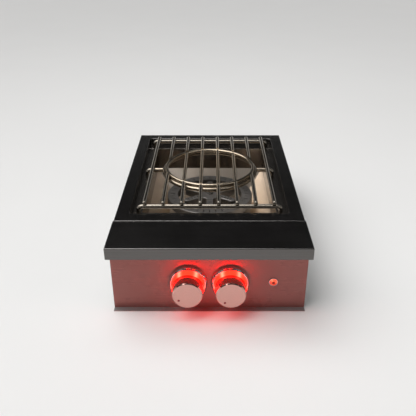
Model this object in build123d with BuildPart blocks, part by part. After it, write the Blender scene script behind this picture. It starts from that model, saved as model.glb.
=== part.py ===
"""Built-in power burner for an outdoor kitchen, with a star burner inside a ring burner.

Frame: +Z up from the base, +X to the right as the cook sees it, the controls face -Y.
Origin: the middle of the footprint box, on the base.
"""
import os
from math import cos, radians, sin, sqrt

from build123d import *

os.makedirs("parts", exist_ok=True)

# Sheet metal and general clearances
sheet = 1.2
fit_gap = 0.3
bend_radius = 2.0
edge_radius = 0.5
roll_radius = 1.4

# Body, rim and base
body_width = 377.0
body_length = 654.0
rim_width = 428.0
rim_height = 175.8
rear_overhang = 24.0
counter_flange = 23.0
rear_flange = 20.0
side_return = 14.0

# Hood over the controls
hood_width = 432.0
hood_depth = 113.5
hood_drop = 27.0
hood_hem = 9.0
hood_lap = 12.0

# Control panel
panel_width = 425.5
panel_setback = 32.0
panel_lip = 13.0
panel_return = 14.0

# Well, liner and burner pan
well_setback = 150.0
well_width = 367.5
well_length = 474.0
well_drop = 18.0
well_corner = 9.0
ledge_side = 24.5
ledge_end = 37.0
ledge_bend = 1.0
liner_seam = 0.2
slope_height = 94.0
floor_width = 230.0
floor_length = 312.0
floor_height = 36.2
air_slot_length = 46.0
air_slot_width = 9.0
air_slot_pitch_x = 60.0
air_slot_pitch_y = 250.0
air_slot_columns = 3
air_slot_rows = 2

# Bulkhead and vents
bulkhead_setback = 118.0
bulkhead_foot = 12.0
vent_length = 44.0
vent_width = 7.0
vent_pitch = 58.0
vent_rise = 16.0
rear_vent_height = 132.0
vent_columns = 5
vent_rows = 2

# Knobs and their place on the panel
knob_reach = 20.0
knob_spacing = 92.0
control_height = 72.0
knob_radius = 32.0
knob_length = 30.0
knob_bevel = 2.0
knob_wall = 3.2
knob_face = 4.0
hub_radius = 9.0
knob_travel = 4.0
pointer_radius = 2.4
pointer_offset = 22.0
pointer_depth = 1.2
left_knob_angle = 123.0
right_knob_angle = 145.0

# Bezels and light collars
bezel_radius = 42.5
bezel_front_radius = 38.0
bezel_height = 12.0
bezel_base = 2.0
bezel_wall = 1.4
bezel_lip = 1.2
bezel_curve = 24.0
light_outer = 36.9
light_front_radius = 34.9
light_inner = 33.3
light_proud = 12.0
light_curve = 24.0
board_thickness = 1.6
board_gap = 0.5

# Gas valves
stem_radius = 3.0
stem_flat = 2.1
stem_seat = 10.0
plug_radius = 8.0
plug_length = 23.7
valve_radius = 13.0
valve_length = 33.0
valve_setback = 15.0
valve_neck_radius = 9.0
valve_neck = 6.0
bonnet_width = 46.0
bonnet_height = 27.0
bonnet_thickness = 3.2
bonnet_nose_radius = 7.5
ear_thickness = 4.0
bonnet_hole_pitch = 35.0
bonnet_hole_radius = 1.8
gas_port_radius = 2.0
panel_hole_radius = 11.0
valve_leg = 18.0

# Manifold, pipe and inlet
manifold_size = 22.0
manifold_wall = 2.0
manifold_height = 40.0
manifold_left = -80.0
elbow_chamfer = 7.0
pipe_x = 161.0
pipe_radius = 8.0
pipe_wall = 1.2
bracket_width = 20.0
bracket_foot = 14.0
bracket_inset = 20.0
inlet_radius = 7.94
inlet_bore = 5.0
inlet_length = 12.0
inlet_barrel_radius = 10.0
inlet_barrel = 11.0
inlet_hex = 24.0
inlet_hex_length = 16.8
inlet_nut_hex = 27.0
inlet_nut_length = 6.0

# Venturi tubes, shutters and orifices
tube_radius = 14.0
tube_wall = 1.5
tube_bend = 60.0
tube_bend_start = 125.0
tube_bend_run = 105.0
orifice_hex = 12.0
orifice_hex_length = 6.0
orifice_radius = 4.0
orifice_length = 8.0
orifice_bore = 1.0
orifice_taper = 8.0
shutter_length = 18.0
shutter_wall = 1.2
shutter_gap = 2.0
shutter_hole_radius = 6.0
shutter_window = 4.5
shutter_window_offset = 9.6
shutter_windows = 4
tube_clearance = 3.0

# Burners
casting_wall = 3.0
head_base = 88.0
head_height = 16.0
cap_thickness = 4.0
cap_chamfer = 1.3
ring_outer = 115.0
ring_inner = 87.0
ring_ports = 40
port_width = 2.2
ring_port_length = 11.0
star_hub = 30.0
arm_count = 6
arm_reach = 78.0
arm_width = 18.0
star_port_length = 9.0
star_port_first = 38.0
star_port_pitch = 9.0
star_port_count = 4
throat_radius = 5.0
throat_circle = 14.0
throat_count = 6
post_radius = 7.0
plenum_width = 44.0
plenum_length = 52.0
ring_plenum_width = 32.0
ring_plenum_length = 32.0
ring_throat = 9.0
ring_foot_radius = 7.0
ring_foot_angle = 60.0
bolt_radius = 4.0
bolt_head = 13.0
bolt_head_height = 5.5
bolt_length = 18.0
washer_radius = 9.0
washer_thickness = 1.6

# Burner support
support_height = 56.0
support_width = 190.0
support_length = 236.0
support_window_width = 66.0
support_window_length = 63.0
support_bar = 24.0
support_foot = 12.0

# Igniter
electrode_inset = 15.0
electrode_height = 82.0
electrode_radius = 3.5
electrode_length = 120.0
electrode_back = 285.0
spark_wire_radius = 0.9
spark_gap = 5.0
lead_radius = 2.5
lead_bend = 10.0
lead_height = 45.0
bracket_plate_width = 20.0
bracket_plate_rise = 36.0
bracket_plate_foot = 14.0

# Electric boxes
box_setback = 98.0
module_x = -130.0
module_width = 62.0
module_depth = 30.0
module_height = 24.0
driver_x = 76.0
driver_width = 52.0
driver_depth = 30.0
driver_height = 20.0
box_edge = 1.5
terminal_radius = 3.0
terminal_rise = 7.0
terminal_pitch = 30.0

# Light switch
switch_inset = 72.75
switch_height = 71.0
switch_flange_radius = 10.5
switch_flange = 2.2
switch_taper = 12.0
switch_barrel_radius = 7.8
switch_barrel = 26.0
switch_nut_hex = 22.0
switch_nut = 4.0
switch_ring_outer = 8.4
switch_ring_inner = 6.5
switch_ring_depth = 1.4
button_radius = 5.6
button_proud = 1.6
button_edge = 0.5
button_length = 14.0
button_travel = 1.6
blade_length = 7.0
blade_width = 5.0
blade_thickness = 0.8
blade_pitch = 7.0

# Grate
rod_diameter = 9.5
rail_diameter = 11.0
rod_count = 8
rod_pitch = 43.2
rod_end_gap = 24.5
rod_end_radius = 3.5
grate_top = 193.4
rail_reach = 166.0
rail_bend = 9.0
rail_inset = 6.0
carrier_radius = 120.0
insert_radius = 114.0
insert_gap = 1.2
insert_rods = 4

# Places worked out from the sizes above
hood_front = knob_reach - (body_length + knob_reach) / 2
rim_rear = hood_front + body_length
rim_front = hood_front + hood_depth - hood_lap
panel_front = hood_front + panel_setback
panel_back = panel_front + sheet
well_front = hood_front + well_setback
well_y = well_front + well_length / 2
rear_outer = rim_rear - rear_overhang
rear_inner = rear_outer - sheet
bulkhead_front = hood_front + bulkhead_setback
bulkhead_back = bulkhead_front + sheet
inside_width = body_width - 2 * sheet
rim_under = rim_height - sheet
flange_under = rim_under - sheet
hood_top = rim_height + sheet
hood_bottom = hood_top - hood_drop
ledge_top = rim_height - well_drop
ledge_under = ledge_top - sheet
pan_width = well_width - 2 * ledge_side
pan_length = well_length - 2 * ledge_end
knob_x = knob_spacing / 2
switch_x = panel_width / 2 - switch_inset
electrode_x = support_width / 2 - electrode_inset
knob_front = hood_front - knob_reach
knob_back = knob_front + knob_length
bonnet_back = panel_front + valve_setback
bonnet_front = bonnet_back - bonnet_thickness
valve_back = bonnet_back + valve_length
neck_back = valve_back + valve_neck
manifold_top = manifold_height + manifold_size / 2
manifold_bottom = manifold_height - manifold_size / 2
manifold_y = (bonnet_back + valve_back) / 2
elbow_left = pipe_x - manifold_size / 2
orifice_tip = neck_back + orifice_hex_length + orifice_length
tube_front = neck_back + orifice_hex_length + shutter_gap + shutter_wall
head_top = head_base + head_height
cap_top = head_top + cap_thickness
ring_middle = (ring_outer + ring_inner) / 2
ring_plenum_y = well_y - sqrt(ring_middle**2 - knob_x**2)
star_plenum_front = well_y - plenum_length / 2
ring_plenum_front = ring_plenum_y - ring_plenum_length / 2
rod_radius = rod_diameter / 2
rod_height = grate_top - rod_radius
rail_radius = rail_diameter / 2
rail_height = rod_height - rod_radius - rail_radius
rod_length = well_length - 2 * rod_end_gap
rail_span = rod_length / 2 - rail_inset
insert_reach = rail_radius + rod_radius + fit_gap
insert_height = rail_height + sqrt(insert_reach**2 - (carrier_radius - insert_radius)**2)
sides = (("left", -1), ("right", 1))
knob_angles = {"left": left_knob_angle, "right": right_knob_angle}


def front_plane(x, y, z):
    """Plane that faces the cook, with X to the right and Y up."""
    return Plane(origin=(x, y, z), x_dir=(1, 0, 0), z_dir=(0, -1, 0))


def turning_plane(x, y, z):
    """Plane through a front-to-back axis: X is the radius, Y runs towards the cook."""
    return Plane(origin=(x, y, z), x_dir=(1, 0, 0), z_dir=(0, 0, -1))


def turning_axis(x, z):
    """Front-to-back axis of a control."""
    return Axis((x, 0, z), (0, -1, 0))


def star_outline(hub, reach, width):
    """Hub with rounded arms, drawn in the current sketch."""
    Circle(hub)
    with PolarLocations(0, arm_count, start_angle=180 / arm_count):
        SlotCenterPoint(((reach - width / 2) / 2, 0), (reach - width / 2, 0), width)


def d_outline(radius, flat):
    """Round shaft section with one flat, drawn in the current sketch."""
    Circle(radius)
    with Locations((0, flat + radius)):
        Rectangle(2 * radius, 2 * radius, mode=Mode.SUBTRACT)


# Bottom panel, with two rows of air vents under the burner pan
with BuildPart() as bottom_panel:
    with BuildSketch():
        with Locations((0, (panel_back + rear_outer) / 2)):
            Rectangle(body_width, rear_outer - panel_back)
        with Locations((0, well_y)):
            with GridLocations(vent_pitch, floor_length, vent_columns, vent_rows):
                Rectangle(vent_length, vent_width, mode=Mode.SUBTRACT)
    extrude(amount=sheet)
bottom_panel.part.label = "bottom_panel"
export_step(bottom_panel.part, "parts/bottom_panel.step")

# Side panels: web, return on the bottom panel, flange that lies on the counter
for side, hand in sides:
    with BuildPart() as side_panel:
        with BuildSketch(Plane.XY.offset(sheet)):
            with Locations((hand * (body_width - sheet) / 2, (panel_back + rear_outer) / 2)):
                Rectangle(sheet, rear_outer - panel_back)
        extrude(amount=rim_under - sheet)
        with BuildSketch(Plane.XY.offset(sheet)):
            with Locations((hand * (body_width - side_return) / 2, (panel_back + rear_inner) / 2)):
                Rectangle(side_return, rear_inner - panel_back)
        extrude(amount=sheet)
        with BuildSketch(Plane.XY.offset(flange_under)):
            with Locations((hand * (body_width + counter_flange) / 2, (rim_front + rear_outer) / 2)):
                Rectangle(counter_flange, rear_outer - rim_front)
        extrude(amount=sheet)
    side_panel.part.label = f"{side}_side_panel"
    export_step(side_panel.part, f"parts/{side}_side_panel.step")

# Rear panel between the side panels, with its flange, vents and gas inlet hole
with BuildPart() as rear_panel:
    with BuildSketch(front_plane(0, rear_outer, 0)):
        with Locations((0, (rim_under + sheet) / 2)):
            Rectangle(inside_width, rim_under - sheet)
        with Locations((0, rear_vent_height)):
            with GridLocations(vent_pitch, vent_rise, vent_columns, vent_rows):
                SlotOverall(vent_length, vent_width, mode=Mode.SUBTRACT)
        with Locations((pipe_x, manifold_height)):
            Circle(inlet_barrel_radius + fit_gap, mode=Mode.SUBTRACT)
    extrude(amount=sheet)
    with BuildSketch(Plane.XY.offset(flange_under)):
        with Locations((0, rear_outer + rear_flange / 2)):
            Rectangle(inside_width, rear_flange)
    extrude(amount=sheet)
rear_panel.part.label = "rear_panel"
export_step(rear_panel.part, "parts/rear_panel.step")

# Bulkhead that shields the valves from the burner pan
with BuildPart() as front_bulkhead:
    with BuildSketch(front_plane(0, bulkhead_back, 0)):
        with Locations((0, (rim_under + 2 * sheet) / 2)):
            Rectangle(inside_width, rim_under - 2 * sheet)
        with Locations((-knob_x, control_height), (knob_x, control_height)):
            Circle(tube_radius + tube_clearance, mode=Mode.SUBTRACT)
        with Locations((pipe_x, manifold_height)):
            Circle(pipe_radius + fit_gap, mode=Mode.SUBTRACT)
        with Locations((electrode_x, electrode_height)):
            Circle(lead_radius + fit_gap, mode=Mode.SUBTRACT)
    extrude(amount=sheet)
    with BuildSketch(Plane.XY.offset(2 * sheet)):
        with Locations((0, bulkhead_back + bulkhead_foot / 2)):
            Rectangle(inside_width, bulkhead_foot)
    extrude(amount=sheet)
front_bulkhead.part.label = "front_bulkhead"
export_step(front_bulkhead.part, "parts/front_bulkhead.step")

# Top frame: rim and the wall that drops from it to the ledge
with BuildPart() as top_frame:
    with BuildSketch(Plane.XY.offset(rim_under)):
        with Locations((0, (rim_front + rim_rear) / 2)):
            Rectangle(rim_width, rim_rear - rim_front)
        with Locations((0, well_y)):
            RectangleRounded(well_width, well_length, well_corner, mode=Mode.SUBTRACT)
    extrude(amount=sheet)
    with BuildSketch(Plane.XY.offset(ledge_top)):
        with Locations((0, well_y)):
            RectangleRounded(well_width + 2 * sheet, well_length + 2 * sheet, well_corner + sheet)
            RectangleRounded(well_width, well_length, well_corner, mode=Mode.SUBTRACT)
    extrude(amount=well_drop)
    rim_face = top_frame.faces().sort_by(Axis.Z)[-1]
    fillet(rim_face.inner_wires()[0].edges(), bend_radius)
    rim_face = top_frame.faces().sort_by(Axis.Z)[-1]
    fillet(rim_face.outer_wire().edges(), edge_radius)
top_frame.part.label = "top_frame"
export_step(top_frame.part, "parts/top_frame.step")

# Well liner: four angles whose flanges are the ledge for the grate and whose walls line the well
with BuildPart() as well_liner:
    with BuildSketch(Plane.XY.offset(ledge_under)):
        for side, hand in sides:
            with Locations((hand * (pan_width + ledge_side + sheet) / 2, well_y)):
                Rectangle(ledge_side + sheet, pan_length - 2 * liner_seam)
            with Locations((0, well_y + hand * (pan_length + ledge_end + sheet) / 2)):
                Rectangle(well_width + 2 * sheet, ledge_end + sheet)
    extrude(amount=sheet)
    with BuildSketch(Plane.XY.offset(slope_height)):
        for side, hand in sides:
            with Locations((hand * (pan_width + sheet) / 2, well_y)):
                Rectangle(sheet, pan_length - 2 * liner_seam)
            with Locations((0, well_y + hand * (pan_length + sheet) / 2)):
                Rectangle(pan_width + 2 * sheet, sheet)
    extrude(amount=ledge_under - slope_height)
    ledge_edges = well_liner.edges().filter_by_position(Axis.Z, ledge_top, ledge_top)
    end_bends = ledge_edges.filter_by(Axis.X).sort_by(SortBy.LENGTH)[-4:].sort_by(Axis.Y)[1:3]
    side_bends = ledge_edges.filter_by(Axis.Y).sort_by(SortBy.LENGTH)[-4:].sort_by(Axis.X)[1:3]
    fillet(end_bends + side_bends, ledge_bend)
well_liner.part.label = "well_liner"
export_step(well_liner.part, "parts/well_liner.step")

# Burner pan: sloping hopper welded under the liner, and a floor with air slots
with BuildPart() as burner_pan:
    with BuildSketch(Plane.XY.offset(slope_height)):
        with Locations((0, well_y)):
            Rectangle(pan_width + 2 * sheet, pan_length + 2 * sheet)
    with BuildSketch(Plane.XY.offset(floor_height - sheet)):
        with Locations((0, well_y)):
            Rectangle(floor_width + 2 * sheet, floor_length + 2 * sheet)
    loft()
    with BuildSketch(Plane.XY.offset(slope_height)):
        with Locations((0, well_y)):
            Rectangle(pan_width, pan_length)
    with BuildSketch(Plane.XY.offset(floor_height)):
        with Locations((0, well_y)):
            Rectangle(floor_width, floor_length)
    loft(mode=Mode.SUBTRACT)
    with BuildSketch(front_plane(0, well_y - floor_length / 2, control_height)):
        with Locations((-knob_x, 0), (knob_x, 0)):
            Circle(tube_radius + tube_clearance)
        with Locations((electrode_x, electrode_height - control_height)):
            Circle(electrode_radius + 2 * fit_gap)
    extrude(amount=(pan_length - floor_length) / 2 + tube_radius, mode=Mode.SUBTRACT)
    with BuildSketch(Plane.XY.offset(floor_height)):
        with Locations((0, well_y)):
            with GridLocations(air_slot_pitch_x, air_slot_pitch_y, air_slot_columns, air_slot_rows):
                SlotOverall(air_slot_length, air_slot_width)
    extrude(amount=-sheet, mode=Mode.SUBTRACT)
burner_pan.part.label = "burner_pan"
export_step(burner_pan.part, "parts/burner_pan.step")

# Hood: folded top, fascia and side returns, with a hem along the fascia
with BuildPart() as front_hood:
    with BuildSketch(Plane.XY.offset(hood_bottom)):
        with Locations((0, hood_front + hood_depth / 2)):
            Rectangle(hood_width, hood_depth)
    extrude(amount=hood_drop)
    top_edges = front_hood.faces().sort_by(Axis.Z)[-1].edges().sort_by(Axis.Y)[:-1]
    corner_edges = front_hood.edges().filter_by(Axis.Z).sort_by(Axis.Y)[:2]
    fillet(top_edges + corner_edges, bend_radius)
    open_bottom = front_hood.faces().sort_by(Axis.Z)[0]
    open_rear = front_hood.faces().sort_by(Axis.Y)[-1]
    offset(amount=-sheet, openings=[open_bottom, open_rear])
    with BuildSketch(Plane.XY.offset(hood_bottom)):
        with Locations((0, hood_front + (sheet + hood_hem) / 2)):
            Rectangle(hood_width - 2 * bend_radius, hood_hem - sheet)
    extrude(amount=sheet)
    with BuildSketch(Plane.YZ.offset(bend_radius - hood_width / 2)):
        with Locations((hood_front + hood_depth, rim_height + roll_radius)):
            Circle(roll_radius)
    extrude(amount=hood_width - 2 * bend_radius)
front_hood.part.label = "front_hood"
export_step(front_hood.part, "parts/front_hood.step")

# Control panel: face up to the hood, lip along the bottom, returns at the sides
with BuildPart() as control_panel:
    with BuildSketch(front_plane(0, panel_back, 0)):
        with Locations((0, rim_height / 2)):
            Rectangle(panel_width, rim_height)
        with Locations((-knob_x, control_height), (knob_x, control_height)):
            Circle(panel_hole_radius, mode=Mode.SUBTRACT)
        with Locations((switch_x, switch_height)):
            Circle(switch_barrel_radius + fit_gap, mode=Mode.SUBTRACT)
    extrude(amount=sheet)
    with BuildSketch():
        with Locations((0, panel_front - panel_lip / 2)):
            Rectangle(panel_width, panel_lip)
    extrude(amount=sheet)
    with BuildSketch():
        with Locations((0, panel_back + panel_return / 2)):
            with GridLocations(panel_width - sheet, 0, 2, 1):
                Rectangle(sheet, panel_return)
    extrude(amount=hood_bottom)
    panel_lines = control_panel.edges().filter_by(Axis.Z).filter_by_position(Axis.Y, panel_front, panel_front)
    panel_corners = panel_lines.sort_by(Axis.X)
    fillet([panel_corners[0], panel_corners[-1]], edge_radius)
control_panel.part.label = "control_panel"
export_step(control_panel.part, "parts/control_panel.step")

# Ring burner: open-topped ring casting with its inlet plenum and two feet
with BuildPart() as ring_burner:
    with BuildSketch(Plane.XY.offset(head_base)):
        with Locations((0, well_y)):
            Circle(ring_outer)
            Circle(ring_inner, mode=Mode.SUBTRACT)
    extrude(amount=head_height)
    with BuildSketch(Plane.XY.offset(support_height)):
        with Locations((knob_x, ring_plenum_y)):
            Rectangle(ring_plenum_width, ring_plenum_length)
        with Locations((0, well_y)):
            with PolarLocations(ring_middle, 2, ring_foot_angle, 360 - 4 * ring_foot_angle):
                Circle(ring_foot_radius)
    extrude(amount=head_base - support_height)
    with BuildSketch(Plane.XY.offset(head_base + casting_wall)):
        with Locations((0, well_y)):
            Circle(ring_outer - casting_wall)
            Circle(ring_inner + casting_wall, mode=Mode.SUBTRACT)
    extrude(amount=head_height - casting_wall, mode=Mode.SUBTRACT)
    with BuildSketch(Plane.XY.offset(head_base + casting_wall)):
        with Locations((knob_x, ring_plenum_y)):
            Circle(ring_throat)
    extrude(amount=control_height - head_base - casting_wall, mode=Mode.SUBTRACT)
    with BuildSketch(front_plane(knob_x, ring_plenum_y, control_height)):
        Circle(tube_radius - tube_wall)
    extrude(amount=ring_plenum_length / 2, mode=Mode.SUBTRACT)
ring_burner.part.label = "ring_burner"
export_step(ring_burner.part, "parts/ring_burner.step")

# Ring burner cover with radial flame ports
with BuildPart() as ring_cover:
    with BuildSketch(Plane.XY.offset(head_top)):
        with Locations((0, well_y)):
            Circle(ring_outer)
            Circle(ring_inner, mode=Mode.SUBTRACT)
            with PolarLocations(ring_middle, ring_ports):
                Rectangle(ring_port_length, port_width, mode=Mode.SUBTRACT)
    extrude(amount=cap_thickness)
    chamfer(ring_cover.faces().sort_by(Axis.Z)[-1].outer_wire().edges(), cap_chamfer)
ring_cover.part.label = "ring_cover"
export_step(ring_cover.part, "parts/ring_cover.step")

# Star burner: open-topped casting with six arms, a bolt post and its inlet plenum
with BuildPart() as star_burner:
    with BuildSketch(Plane.XY.offset(head_base)):
        with Locations((0, well_y)):
            star_outline(star_hub, arm_reach, arm_width)
    extrude(amount=head_height)
    with BuildSketch(Plane.XY.offset(head_base + casting_wall)):
        with Locations((0, well_y)):
            star_outline(star_hub - casting_wall, arm_reach - casting_wall, arm_width - 2 * casting_wall)
            Circle(post_radius, mode=Mode.SUBTRACT)
    extrude(amount=head_height - casting_wall, mode=Mode.SUBTRACT)
    with BuildSketch(Plane.XY.offset(support_height)):
        with Locations((0, well_y)):
            Rectangle(plenum_width, plenum_length)
    extrude(amount=head_base - support_height)
    with BuildSketch(Plane.XY.offset(support_height + casting_wall)):
        with Locations((0, well_y)):
            Rectangle(plenum_width - 2 * casting_wall, plenum_length - 2 * casting_wall)
    extrude(amount=head_base - support_height - 2 * casting_wall, mode=Mode.SUBTRACT)
    with BuildSketch(Plane.XY.offset(head_base + casting_wall)):
        with Locations((0, well_y)):
            with PolarLocations(throat_circle, throat_count):
                Circle(throat_radius)
    extrude(amount=-2 * casting_wall, mode=Mode.SUBTRACT)
    with BuildSketch(front_plane(0, star_plenum_front, control_height)):
        Circle(tube_radius - tube_wall)
    extrude(amount=-casting_wall, mode=Mode.SUBTRACT)
    with BuildSketch(Plane.XY.offset(head_top)):
        with Locations((0, well_y)):
            Circle(bolt_radius + fit_gap)
    extrude(amount=-bolt_length + cap_thickness - fit_gap, mode=Mode.SUBTRACT)
star_burner.part.label = "star_burner"
export_step(star_burner.part, "parts/star_burner.step")

# Star burner cover with flame ports across each arm
with BuildPart() as star_cover:
    with BuildSketch(Plane.XY.offset(head_top)):
        with Locations((0, well_y)):
            star_outline(star_hub, arm_reach, arm_width)
            Circle(bolt_radius + fit_gap, mode=Mode.SUBTRACT)
            for port in range(star_port_count):
                with PolarLocations(star_port_first + port * star_port_pitch, arm_count, 180 / arm_count):
                    Rectangle(port_width, star_port_length, mode=Mode.SUBTRACT)
    extrude(amount=cap_thickness)
    chamfer(star_cover.faces().sort_by(Axis.Z)[-1].outer_wire().edges(), cap_chamfer)
star_cover.part.label = "star_cover"
export_step(star_cover.part, "parts/star_cover.step")

# Bolt that holds the star cover, with its washer face
with BuildPart() as burner_bolt:
    with BuildSketch(Plane.XY.offset(cap_top)):
        with Locations((0, well_y)):
            Circle(washer_radius)
    extrude(amount=washer_thickness)
    with BuildSketch(Plane.XY.offset(cap_top + washer_thickness)):
        with Locations((0, well_y)):
            RegularPolygon(bolt_head / 2, 6, major_radius=False)
    extrude(amount=bolt_head_height)
    with BuildSketch(Plane.XY.offset(cap_top)):
        with Locations((0, well_y)):
            Circle(bolt_radius)
    extrude(amount=-bolt_length)
burner_bolt.part.label = "burner_bolt"
export_step(burner_bolt.part, "parts/burner_bolt.step")

# Support plate for both burners, with folded legs on the pan floor
with BuildPart() as burner_support:
    with BuildSketch(Plane.XY.offset(support_height)):
        with Locations((0, well_y)):
            Rectangle(support_width, support_length)
            with GridLocations(
                support_window_width + support_bar, support_window_length + support_bar, 2, 2
            ):
                Rectangle(support_window_width, support_window_length, mode=Mode.SUBTRACT)
    extrude(amount=-sheet)
    with BuildSketch(Plane.XY.offset(floor_height)):
        with Locations((0, well_y)):
            with GridLocations(support_width - sheet, 0, 2, 1):
                Rectangle(sheet, support_length)
    extrude(amount=support_height - floor_height)
    with BuildSketch(Plane.XY.offset(floor_height)):
        with Locations((0, well_y)):
            with GridLocations(support_width + support_foot - 2 * sheet, 0, 2, 1):
                Rectangle(support_foot, support_length)
    extrude(amount=sheet)
burner_support.part.label = "burner_support"
export_step(burner_support.part, "parts/burner_support.step")

# Left venturi: straight from its orifice, then an S bend to the star burner
left_bend_y = tube_front + tube_bend_start
with BuildPart() as left_venturi:
    with BuildLine(Plane.XY.offset(control_height)) as left_route:
        FilletPolyline(
            (-knob_x, tube_front),
            (-knob_x, left_bend_y),
            (0, left_bend_y + tube_bend_run),
            (0, star_plenum_front),
            radius=tube_bend,
        )
    with BuildSketch(front_plane(-knob_x, tube_front, control_height)):
        Circle(tube_radius)
        Circle(tube_radius - tube_wall, mode=Mode.SUBTRACT)
    sweep(path=left_route.wires()[0])
left_venturi.part.label = "left_venturi"
export_step(left_venturi.part, "parts/left_venturi.step")

# Right venturi: straight to the ring burner
with BuildPart() as right_venturi:
    with BuildSketch(front_plane(knob_x, ring_plenum_front, control_height)):
        Circle(tube_radius)
        Circle(tube_radius - tube_wall, mode=Mode.SUBTRACT)
    extrude(amount=ring_plenum_front - tube_front)
right_venturi.part.label = "right_venturi"
export_step(right_venturi.part, "parts/right_venturi.step")

# Gas train behind each knob
for side, hand in sides:
    valve_x = hand * knob_x

    # Air shutter: a cap with windows over the mouth of the tube
    with BuildPart() as air_shutter:
        with BuildSketch(front_plane(valve_x, tube_front + shutter_length, control_height)):
            Circle(tube_radius + fit_gap + shutter_wall)
        extrude(amount=shutter_length + shutter_wall)
        with BuildSketch(front_plane(valve_x, tube_front + shutter_length, control_height)):
            Circle(tube_radius + fit_gap)
        extrude(amount=shutter_length, mode=Mode.SUBTRACT)
        with BuildSketch(front_plane(valve_x, tube_front, control_height)):
            Circle(shutter_hole_radius - fit_gap)
            with PolarLocations(shutter_window_offset, shutter_windows, 180 / shutter_windows):
                Circle(shutter_window - fit_gap)
        extrude(amount=shutter_wall, mode=Mode.SUBTRACT)
    air_shutter.part.label = f"{side}_air_shutter"
    export_step(air_shutter.part, f"parts/{side}_air_shutter.step")

    # Orifice: hex body and nozzle on the end of the valve
    with BuildPart() as orifice:
        with BuildSketch(front_plane(valve_x, neck_back, control_height)):
            RegularPolygon(orifice_hex / 2, 6, major_radius=False)
        extrude(amount=-orifice_hex_length)
        with BuildSketch(front_plane(valve_x, neck_back + orifice_hex_length, control_height)):
            Circle(orifice_radius)
        extrude(amount=-orifice_length, taper=orifice_taper)
        with BuildSketch(front_plane(valve_x, neck_back, control_height)):
            Circle(orifice_bore)
        extrude(amount=neck_back - orifice_tip, mode=Mode.SUBTRACT)
    orifice.part.label = f"{side}_orifice"
    export_step(orifice.part, f"parts/{side}_orifice.step")

    # Valve body: barrel, ears for the bonnet, neck, and a leg down to the manifold
    with BuildPart() as valve_body:
        with BuildSketch(front_plane(valve_x, valve_back, control_height)):
            Circle(valve_radius)
        extrude(amount=valve_length)
        with BuildSketch(front_plane(valve_x, bonnet_back + ear_thickness, control_height)):
            SlotOverall(bonnet_width, bonnet_height)
        extrude(amount=ear_thickness)
        with BuildSketch(front_plane(valve_x, neck_back, control_height)):
            Circle(valve_neck_radius)
        extrude(amount=valve_neck)
        with BuildSketch(Plane.XY.offset(manifold_top)):
            with Locations((valve_x, manifold_y)):
                Rectangle(valve_leg, valve_leg)
        extrude(amount=control_height - manifold_top)
        with BuildSketch(front_plane(valve_x, valve_back - ear_thickness, control_height)):
            Circle(plug_radius + fit_gap)
        extrude(amount=valve_length - ear_thickness, mode=Mode.SUBTRACT)
        with BuildSketch(front_plane(valve_x, neck_back, control_height)):
            Circle(gas_port_radius)
        extrude(amount=valve_neck + ear_thickness, mode=Mode.SUBTRACT)
        with BuildSketch(Plane.XY.offset(manifold_top)):
            with Locations((valve_x, manifold_y)):
                Circle(gas_port_radius)
        extrude(amount=control_height - manifold_top, mode=Mode.SUBTRACT)
    valve_body.part.label = f"{side}_valve_body"
    export_step(valve_body.part, f"parts/{side}_valve_body.step")

    # Bonnet that closes the valve and guides the stem through the panel
    with BuildPart() as bonnet:
        with BuildSketch(front_plane(valve_x, bonnet_back, control_height)):
            SlotOverall(bonnet_width, bonnet_height)
            with GridLocations(bonnet_hole_pitch, 0, 2, 1):
                Circle(bonnet_hole_radius, mode=Mode.SUBTRACT)
        extrude(amount=bonnet_thickness)
        with BuildSketch(front_plane(valve_x, bonnet_front, control_height)):
            Circle(bonnet_nose_radius)
        extrude(amount=bonnet_front - panel_front)
        with BuildSketch(front_plane(valve_x, bonnet_back, control_height)):
            Circle(stem_radius + fit_gap)
        extrude(amount=bonnet_back - panel_front, mode=Mode.SUBTRACT)
    bonnet.part.label = f"{side}_bonnet"
    export_step(bonnet.part, f"parts/{side}_bonnet.step")

    # Valve plug, turned by the flat on the stem
    plug_back = valve_back - ear_thickness - fit_gap
    plug_front = plug_back - plug_length
    stem_back = plug_front + stem_seat
    with BuildPart() as valve_plug:
        with BuildSketch(front_plane(valve_x, plug_back, control_height)):
            Circle(plug_radius)
        extrude(amount=plug_length)
        with BuildSketch(front_plane(valve_x, stem_back + knob_travel + fit_gap, control_height)):
            d_outline(stem_radius + fit_gap, stem_flat + fit_gap)
        extrude(amount=stem_seat + knob_travel + fit_gap, mode=Mode.SUBTRACT)
        with BuildSketch(Plane.XY.offset(control_height - plug_radius)):
            with Locations((valve_x, plug_back - (plug_length - stem_seat - knob_travel) / 2)):
                Circle(gas_port_radius)
        extrude(amount=2 * plug_radius, mode=Mode.SUBTRACT)
    valve_plug.part.label = f"{side}_valve_plug"
    export_step(valve_plug.part, f"parts/{side}_valve_plug.step")

    # Stem: a rod with one flat, from the plug to the knob
    hub_depth = knob_length - knob_face
    with BuildPart() as stem:
        with BuildSketch(front_plane(valve_x, stem_back, control_height)):
            d_outline(stem_radius, stem_flat)
        extrude(amount=stem_back - knob_back + hub_depth - fit_gap)
    stem.part.label = f"{side}_stem"
    export_step(stem.part, f"parts/{side}_stem.step")

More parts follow.
